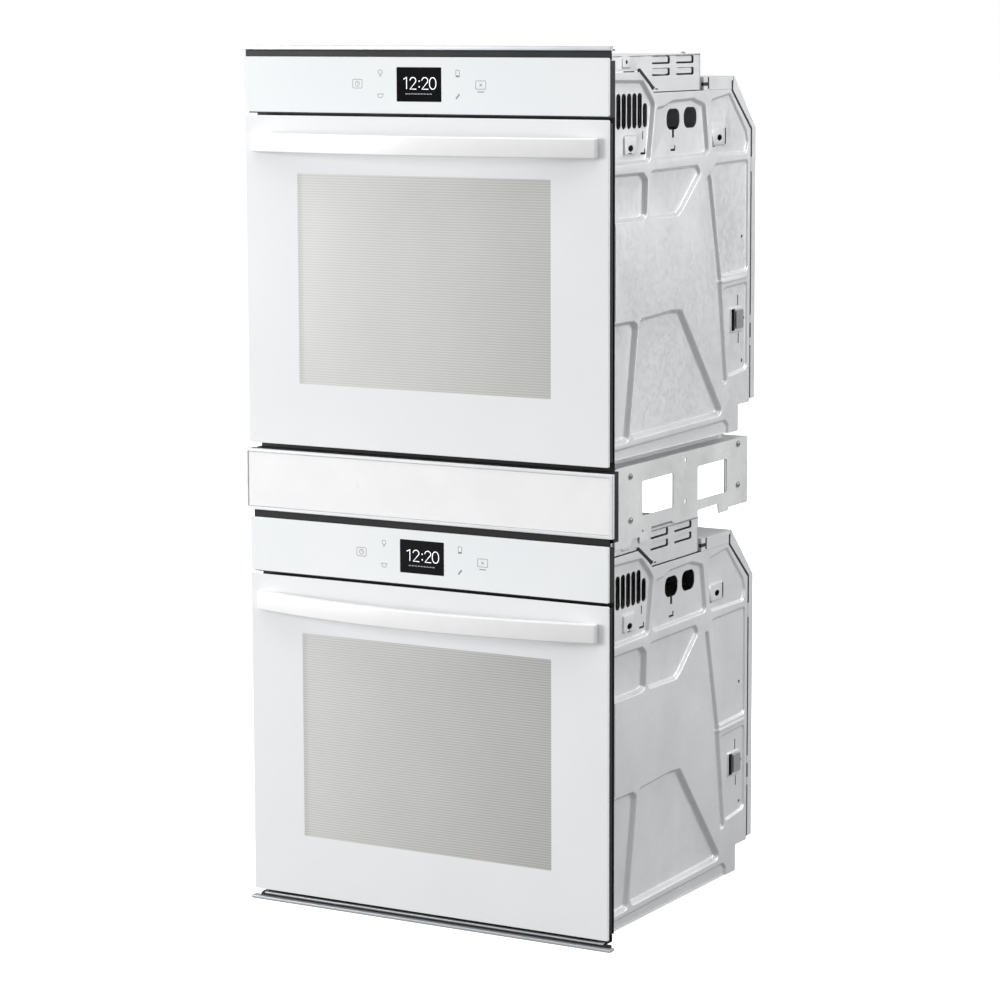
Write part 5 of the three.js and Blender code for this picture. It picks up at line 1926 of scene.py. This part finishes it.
@dataclass
class Rack(Assembly):
    """A wire rack: a rim with tapered front corners, a raised rail and thin bars."""

    level: Level
    corner: Pair = (52.0, 40.0)
    rail: float = 12.0
    pitch: float = 21.0
    wire: float = 2.9
    bar_wire: float = 1.6
    bend: float = 14.0

    def build(self) -> None:
        """Builds and seats the rack."""
        node, body = self.level.value
        low, high = self.place.reach(node)
        half, front, back = high.x - 3.0, low.y + 3.0, high.y - 3.0
        z = low.z + 3.0
        across, along = self.corner
        rim = [(-half, back), (-half, front + along), (across - half, front),
               (half - across, front), (half, front + along), (half, back)]
        points = [self.place.at(x, y, z) for x, y in rim]
        edges = [(i, (i + 1) % len(rim)) for i in range(len(rim))]
        reach = half - across
        rail = [(-reach, z), (-reach, z + self.rail - 3.0), (reach, z + self.rail - 3.0), (reach, z)]
        edges += [(len(points) + i, len(points) + i + 1) for i in range(3)]
        points += [self.place.at(x, front, up) for x, up in rail]
        middle = (front + back) / 2
        edges.append((len(points), len(points) + 1))
        points += [self.place.at(-half, middle, z - 2.0), self.place.at(half, middle, z - 2.0)]
        bars = int(2 * reach / self.pitch)
        first = -bars * self.pitch / 2
        values = {"Wire": self.wire * MM, "Bend": self.bend * MM, "Bars": bars + 1,
                  "First": self.place.at(first, front, z + 1.2),
                  "Pitch": (self.pitch * MM, 0.0, 0.0), "Bar": (0.0, (back - front) * MM, 0.0),
                  "Bar Wire": self.bar_wire * MM}
        piece = self.shop.trees.wires.grow(self.own(f"{node}_wires"),
                                           self.finish("rack_chrome"), values, points, edges)
        seat(piece, self.own(body), "rack_chrome", self.own(node))


@dataclass
class Element(Assembly):
    """A sheathed heating element: one tube bent into a wide loop."""

    node: str
    terminal: float = 45.0
    turn: float = 330.0
    tube: float = 3.4
    bend: float = 24.0
    clips: Pair = (-110.0, 110.0)

    def build(self) -> None:
        """Builds and seats the element with the clips that hold it."""
        low, high = self.place.reach(self.node)
        half, front, end = high.x - 3.5, low.y + 3.5, high.y
        z = (low.z + high.z) / 2
        line = [(-self.terminal, end), (-self.terminal, self.turn), (-half, self.turn),
                (-half, front), (half, front), (half, self.turn), (self.terminal, self.turn),
                (self.terminal, end)]
        points = [self.place.at(x, y, z) for x, y in line]
        edges = [(i, i + 1) for i in range(len(line) - 1)]
        floor = (low.z - 8.0) if self.node.startswith("bake") else (high.z + 8.0)
        for x in self.clips:
            edges.append((len(points), len(points) + 1))
            points += [self.place.at(x, front, z), self.place.at(x, front, floor)]
        piece = self.shop.trees.wires.grow(
            self.own(f"{self.node}_tube"), self.finish("element_sheath"),
            {"Wire": self.tube * MM, "Bend": self.bend * MM}, points, edges)
        seat(piece, "casing", "element_sheath", self.own(self.node))


# ---- spacer and trims

@dataclass
class Spacer(Assembly):
    """The front strip between the ovens and the two brackets that carry it."""

    bezel: float = 5.0
    edge: float = 0.8
    rim_depth: float = 6.0
    frame_wall: float = 6.0
    baffle_gap: float = 0.3
    lower_baffle: float = 7.0
    upper_baffle: float = 26.0
    sheet: float = 1.6

    def build(self) -> None:
        """Builds and seats the front, its rim and the brackets."""
        rim, face = self.front()
        seat(rim, "casing", "bright_trim", "spacer_panel")
        seat(face, "casing", "white_paint")
        seat(self.shade_baffles(), "casing", "black_frame")
        for side in Side:
            self.bracket(side)

    def front(self) -> tuple[Object, Object]:
        """The bright rim, turned back at its edges, and the white face set in it.

        Returns:
            The rim and the face.
        """
        low, high = self.place.box("spacer_panel")
        whole = rectangle((low.x, low.z), (high.x, high.z))
        opening = rectangle((low.x + self.bezel, low.z + self.bezel),
                            (high.x - self.bezel, high.z - self.bezel))
        within = ((0.0, 4.0), (0.0, self.edge), (self.edge, 0.0))
        outside = ((-self.edge, 0.0), (0.0, self.edge), (0.0, self.rim_depth),
                   (-1.5, self.rim_depth), (-1.5, 4.0))
        loops = [(rounded(opening, 1.0, grow), low.y + depth) for grow, depth in within]
        loops += [(rounded(whole, 1.6, grow), low.y + depth) for grow, depth in outside]
        rim = Shape()
        rim.loft([self.place.ring(loop, y) for loop, y in loops], closed=True)
        face = Shape()
        face.prism(rounded(opening, 0.8, -0.3),
                   lambda x, z, height: self.place.at(x, low.y + 1.2 - height, z), -2.6, 0.0, 0.4)
        finishes = self.shop.finishes
        return (rim.object("spacer_rim", [finishes["satin_rim"]]),
                face.object("spacer_face", [finishes["white_paint"]]))

    def shade_baffles(self) -> Object:
        """The black frame behind the rim, and the black sheets that close both gaps: painted shade,
        where the gaps look dark.

        Returns:
            The new object.
        """
        low, high = self.place.box("spacer_panel")
        gap = self.baffle_gap
        whole = rectangle((low.x + 0.8, low.z + 0.8), (high.x - 0.8, high.z - 0.8))
        start = low.y + self.rim_depth + 0.1
        end = self.place.box("spacer_backing")[0].y - 0.2
        wall = -self.frame_wall
        levels = ((0.0, start), (0.0, end), (wall, end), (wall, start))
        shape = Shape()
        shape.loft([self.place.ring(rounded(whole, 1.4, grow), y) for grow, y in levels], closed=True)

        def put(x: float, z: float, y: float) -> Vector:
            """A point of a baffle, with its depth last."""
            return self.place.at(x, y, z)

        # Black sheets that close the gaps over and under the spacer: painted shade.
        under = self.place.box("lower_front_frame")[1].z + gap
        over = self.place.box("upper_front_frame")[0].z - gap
        for half, bottom, top, y in ((299.0, under, low.z - 0.2, self.lower_baffle),
                                     (297.0, high.z - 1.0, over, self.upper_baffle)):
            shape.prism(rectangle((-half, bottom), (half, top)), put, y, y + self.sheet, gap)
        return shape.object("spacer_baffles", [self.finish("black_frame")])

    def bracket(self, side: Side) -> None:
        """One bracket: a plate with two windows, and flanges turned in.

        Args:
            side: which of the two.
        """
        node = f"spacer_bracket_{side.name.lower()}"
        low, high = self.place.box(node)
        put = self.place.outward(side, max(abs(low.x), abs(high.x)))
        top, back = high.z, high.y
        outline = [(34, 552.6), (67, 552.6), (81, 553.7), (88, 561.5), (111, 561.5), (111, 552.6),
                   (137, 553.7), (146, 563.7), (146, 571.7), (210, 571.7), (219, 566.7), (296, 567),
                   (296, 575.7), (363, 576.7), (365, 561.7), (398, 561.7), (400, 566.7),
                   (back, 566.7), (back, top), (34, top)]
        windows = [rounded(rectangle((start, 591), (start + 97, 641)), 2.5)
                   for start in (118.3, 295.3)]
        holes = [rounded(rectangle((253, z), (258, z + 8)), 2.4) for z in (590, 652)]
        holes += [circle((120, 569), 2.0, 12)]
        sheet = Sheet(rounded(outline, 1.6, steps=3), (), (), [*windows, *holes], 1.5)
        plate = sheet.build(f"{node}_plate", put, self.finish("mottled"))
        flanges = Shape()
        spans = [((45, back), (top - 1.5, top)), ((150, 290), (566.3, 567.8))]
        for (start, end), (bottom, over) in spans:
            flanges.prism(rectangle((start, bottom), (end, over)), put, -45.0, -1.6, 0.3)
        for y in (118.3, 392.3):
            flanges.prism(rectangle((y - 1.5, 589), (y, 643)), put, -4.0, -1.6, 0.3)
        turned = flanges.object(f"{node}_flanges", [self.finish("mottled")])
        whole = merged(f"{node}_formed", [plate, turned])
        seat(whole, "casing", "galvanised", node)
        out = Vector((side.value, 0.0, 0.0))
        for y, z in ((80, 652.5), (81, 589.5), (429, 659.5), (429, 597.5)):
            self.shop.screw("casing", put(y, z, 0.9), out)


@dataclass
class Trims:
    """The bright strips above the upper oven and below the lower one."""

    shop: Workshop
    upper: Place
    lower: Place
    edge: float = 0.7

    def build(self) -> None:
        """Builds and seats both strips."""
        self._top()
        self._bottom()

    def _strip(self, node: str, place: Place, bars: Sequence[tuple[Pair, Pair, Pair, int]]) -> None:
        """Builds one strip of straight bars and seats it.

        Args:
            node: the CAD node that the strip stands for.
            place: of the oven whose millimetres are used.
            bars: the lowest and the highest corner of each bar's section, as (y, z), the x of
                its two ends and its material number.
        """
        def put(y: float, z: float, x: float) -> Vector:
            """A point of a bar's section at x."""
            return place.at(x, y, z)

        shape = Shape()
        for start, end, ends, mark in bars:
            shape.prism(rounded(rectangle(start, end), self.edge, steps=3), put, *ends, 0.4, mark)
        finishes = self.shop.finishes
        piece = shape.object(f"{node}_strip", [finishes["bright_trim"], finishes["black_frame"]])
        seat(piece, "casing", "bright_trim", node)

    def _top(self) -> None:
        """The top strip, over a black upright that closes the gap under it: painted shade, where the gap
        looks dark.
        """
        low, high = self.upper.box("top_trim")
        self._strip("top_trim", self.upper, [
            ((low.y, high.z - 6.0), (low.y + 9.0, high.z), (low.x + 2.0, high.x - 2.0), 0),
            # The black upright and the bar behind the strip paint the shade in the gap under it.
            ((low.y + 7.0, low.z + 0.2), (low.y + 9.0, high.z - 5.8),
             (low.x + 4.0, high.x - 4.0), 1),
            ((low.y + 8.0, high.z - 6.4), (high.y, high.z - 4.4), (low.x + 9.5, high.x - 9.5), 1)])

    def _bottom(self) -> None:
        """The bottom strip: a front lip, a groove filled with black as painted shade, a thin second lip
        and a black upright, also painted shade.
        """
        low, high = self.lower.box("bottom_trim")
        front, foot = low.y, low.z
        lip_back = front + 13.0
        self._strip("bottom_trim", self.lower, [
            ((front, foot), (lip_back, foot + 4.6), (low.x, high.x), 0),
            ((front + 6.0, foot + 8.2), (lip_back, foot + 10.8), (low.x + 20.0, high.x - 15.0), 0),
            # The black bars paint the shade in the groove and in the gap behind the strip.
            ((front + 8.0, foot + 4.2), (lip_back, foot + 8.6), (low.x + 12.0, high.x - 4.0), 1),
            ((front + 12.0, foot + 8.0), (high.y, foot + 9.6), (low.x + 12.0, high.x - 12.0), 1),
            ((high.y - 1.6, foot + 8.0), (high.y, high.z), (low.x + 12.0, high.x - 12.0), 1)])


@dataclass
class BackCover(Assembly):
    """Formed back cover: a ribbed face inside a turned rim, with vents and the supply inlet."""

    inlet: Pair = (-200.0, 105.0)

    def build(self) -> None:
        """Builds and seats the ribbed face over the cover's pan."""
        low, high = self.place.reach("back_cover")
        edge = high.x - 6.0
        bottom, top = low.z + 5.0, low.z + 400.0
        ribs = [Pressing(strip([(230 * side, far), (60 * side, near)], 26.0), -2.2, 8.0, 11.0)
                for far, near in ((90, 215), (350, 245)) for side in (-1, 1)]
        ribs += [Pressing(circle((0, 230), 44.0, 24), -2.6, 8.0, 3.0)]
        inlet = circle(self.inlet, 14.0, 28)
        collar = Pressing(circle(self.inlet, 22.0, 20), -1.6, 5.0, 3.0)
        vents = [rounded(rectangle((x - 38, 394), (x + 38, 402)), 3.9) for x in (-120, 0, 120)]
        slots = [rounded(rectangle((x - 38, z), (x + 38, z + 6)), 2.9)
                 for x in (-120, 0, 120) for z in (376, 412)]
        sheet = Sheet(rounded(rectangle((-edge, bottom), (edge, top)), 8.0), (), [*ribs, collar],
                      [inlet, *vents, *slots], 0.8)
        piece = sheet.build(self.own("back_cover_face"), lambda x, z, height:
                            self.place.at(x, high.y + 0.85 + height, z),
                            self.finish("galvanised"))
        seat(piece, "casing", "galvanised")
        back = Vector((0.0, 1.0, 0.0))
        for x in (-edge + 9, 0.0, edge - 9):
            for z in (bottom + 9, top - 9):
                self.shop.screw("casing", self.place.at(x, high.y + 1.6, z), back)


NODE_FINISHES = {
    "galvanised": ("side_panel_left", "side_panel_right", "top_cover", "vent_duct", "back_cover",
                   "base_pan", "blower_housing"),
    "black_frame": ("front_frame", "door_frame", "spacer_backing"),
    "oven_enamel": ("cavity", "fan_cover"),
    "element_sheath": ("bake_element", "broil_element"),
    "rack_chrome": ("rack_lower", "rack_upper"),
    "bare_steel": ("convection_fan", "convection_motor", "blower_wheel", "hinge_left",
                   "hinge_right"),
    "lamp_glass": ("oven_light",),
    "panel_glass": ("control_panel",),
    "display": ("display_module",),
    "white_glass": ("door_glass",),
    "window_glass": ("inner_glass",),
    "white_paint": ("handle",),
    "seal_rubber": ("door_gasket",),
    "mottled": ("spacer_bracket_left", "spacer_bracket_right"),
    "bright_trim": ("spacer_panel", "top_trim", "bottom_trim"),
}


def dress_nodes(finishes: Finishes) -> None:
    """Gives every CAD node its finish.

    Args:
        finishes: the made materials.
    """
    by_node = {node: finish for finish, nodes in NODE_FINISHES.items() for node in nodes}
    for name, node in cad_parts.items():
        plain = name.removeprefix("lower_").removeprefix("upper_")
        material = finishes[by_node[plain]]
        for material_slot in node.material_slots:
            material_slot.material = material
        LOG.info("%s is dressed in %s", name, material.name)


# ---- studio

@dataclass(frozen=True)
class Lamp:
    """One soft area light, aimed at a point."""

    name: str
    spot: tuple[float, float, float]
    size: float
    power: float

    def place(self, target: Vector) -> None:
        """Adds the light to the scene.

        Args:
            target: that the light looks at.
        """
        data = bpy.data.lights.new(self.name, "AREA")
        data.shape = "SQUARE"
        data.size = self.size
        data.energy = self.power
        light = stand(self.name, data)
        light.location = self.spot
        light.rotation_euler = (target - light.location).to_track_quat("-Z", "Y").to_euler()


@dataclass
class Studio:
    """Camera, lights and floor."""

    eye: tuple[float, float, float] = (2.4415, -4.2597, 1.3135)
    yaw: float = 29.90
    pitch: float = 7.695
    roll: float = -0.184
    lens: float = 118.85
    shift: float = -0.04
    sky: Pair = (0.4, 0.62)
    floor_tone: float = 0.3
    lamps: tuple[Lamp, ...] = (
        Lamp("overhead", (0.4, -0.6, 4.6), 4.2, 115.0),
        Lamp("key", (-4.6, -4.0, 1.5), 2.4, 268.0),
        Lamp("side_light", (4.0, 2.4, 2.2), 2.4, 134.0),
    )

    def build(self) -> None:
        """Sets the camera, the lights, the surroundings and the floor."""
        self.camera()
        for lamp in self.lamps:
            lamp.place(Vector((0.0, 0.0, 0.65)))
        self.surroundings()
        self.floor()

    def camera(self) -> None:
        """The camera, from its place, yaw, pitch and roll."""
        data = bpy.data.cameras.new("camera")
        data.lens = self.lens
        data.sensor_width = 36.0
        data.shift_y = self.shift
        data.clip_end = 100.0
        yaw, pitch, roll = (math.radians(a) for a in (self.yaw, self.pitch, self.roll))
        ahead = Vector((-math.sin(yaw) * math.cos(pitch), math.cos(yaw) * math.cos(pitch),
                        -math.sin(pitch)))
        right = Vector((math.cos(yaw), math.sin(yaw), 0.0))
        up = right.cross(ahead)
        across = right * math.cos(roll) + up * math.sin(roll)
        over = across.cross(ahead)
        turn = Matrix((across, over, -ahead)).transposed().to_4x4()
        camera = stand("camera", data)
        camera.matrix_world = Matrix.Translation(self.eye) @ turn
        bpy.context.scene.camera = camera

    def surroundings(self) -> None:
        """A white sky that lights less near the horizon."""
        world = bpy.data.worlds.new("studio")
        world.use_nodes = True
        w = Wiring(world.node_tree)
        sky = world.node_tree.nodes["Background"]
        way = w.add("ShaderNodeSeparateXYZ", {0: w.add("ShaderNodeTexCoord").outputs["Generated"]})
        light = w.span(way.outputs["Z"], 0.0, 0.8, *self.sky)
        seen = w.add("ShaderNodeLightPath").outputs["Is Camera Ray"]
        w.tree.links.new(w.maths("MAXIMUM", seen, light), sky.inputs["Strength"])
        sky.inputs["Color"].default_value = (1.0, 1.0, 1.0, 1.0)
        bpy.context.scene.world = world
        bpy.context.scene.view_settings.view_transform = "Standard"

    def floor(self) -> None:
        """A wide pale floor at the foot of the oven."""
        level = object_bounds()[0][2] - 0.0005
        mesh = bpy.data.meshes.new("floor")
        reach = 40.0
        mesh.from_pydata([(-reach, -reach, level), (reach, -reach, level), (reach, reach, level),
                          (-reach, reach, level)], [], [(0, 1, 2, 3)])
        material = bpy.data.materials.new("studio_floor")
        material.use_nodes = True
        w = Wiring(material.node_tree)
        shader = material.node_tree.nodes["Principled BSDF"]
        shader.inputs["Roughness"].default_value = 0.9
        shader.inputs["Emission Color"].default_value = (1.0, 1.0, 1.0, 1.0)
        seen = w.add("ShaderNodeLightPath").outputs["Is Camera Ray"]
        w.tree.links.new(seen, shader.inputs["Emission Strength"])
        pale = w.mix(w.noise(0.8, 2.0), (0.93, 0.93, 0.93), (0.96, 0.96, 0.96))
        w.tree.links.new(w.mix(seen, (self.floor_tone,) * 3, pale), shader.inputs["Base Color"])
        as_object("floor", mesh, [material])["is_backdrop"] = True


@dataclass(frozen=True)
class CavityLight:
    """The small light inside one oven, before its lamp glass and over its window."""

    ahead: float = 150.0
    height: float = 430.0
    power: float = 1.1
    radius: float = 0.01

    def build(self, place: Place) -> None:
        """Adds the light to one oven.

        Args:
            place: of the oven.
        """
        low, _ = place.reach("oven_light")
        data = bpy.data.lights.new(f"{place.prefix}_cavity_light", "POINT")
        data.energy = self.power
        data.shadow_soft_size = self.radius
        light = stand(data.name, data)
        light.location = place.at(0.0, low.y - self.ahead, self.height)


# ---- the whole oven


def main() -> None:
    """Builds the studio, dresses the CAD nodes and builds every sub-assembly."""
    logging.basicConfig(level=logging.INFO, format="%(name)s: %(message)s")
    Studio().build()
    finishes = Finishes()
    shop = Workshop(finishes, Trees())
    dress_nodes(finishes)
    ovens = [Place.of("lower"), Place.of("upper")]
    for place in ovens:
        Door(place, shop).build()
        ControlPanel(place, shop).build()
        for side in Side:
            SidePanel(place, shop, side).build()
        VentDuct(place, shop).build()
        BackCover(place, shop).build()
        Insulation(place, shop).build()
        for level in Level:
            Rack(place, shop, level).build()
        for node in ("bake_element", "broil_element"):
            Element(place, shop, node).build()
        CavityLight().build(place)
    Spacer(ovens[0], shop).build()
    Trims(shop, ovens[1], ovens[0]).build()
    shop.drive_screws()


if __name__ == "__main__":
    main()
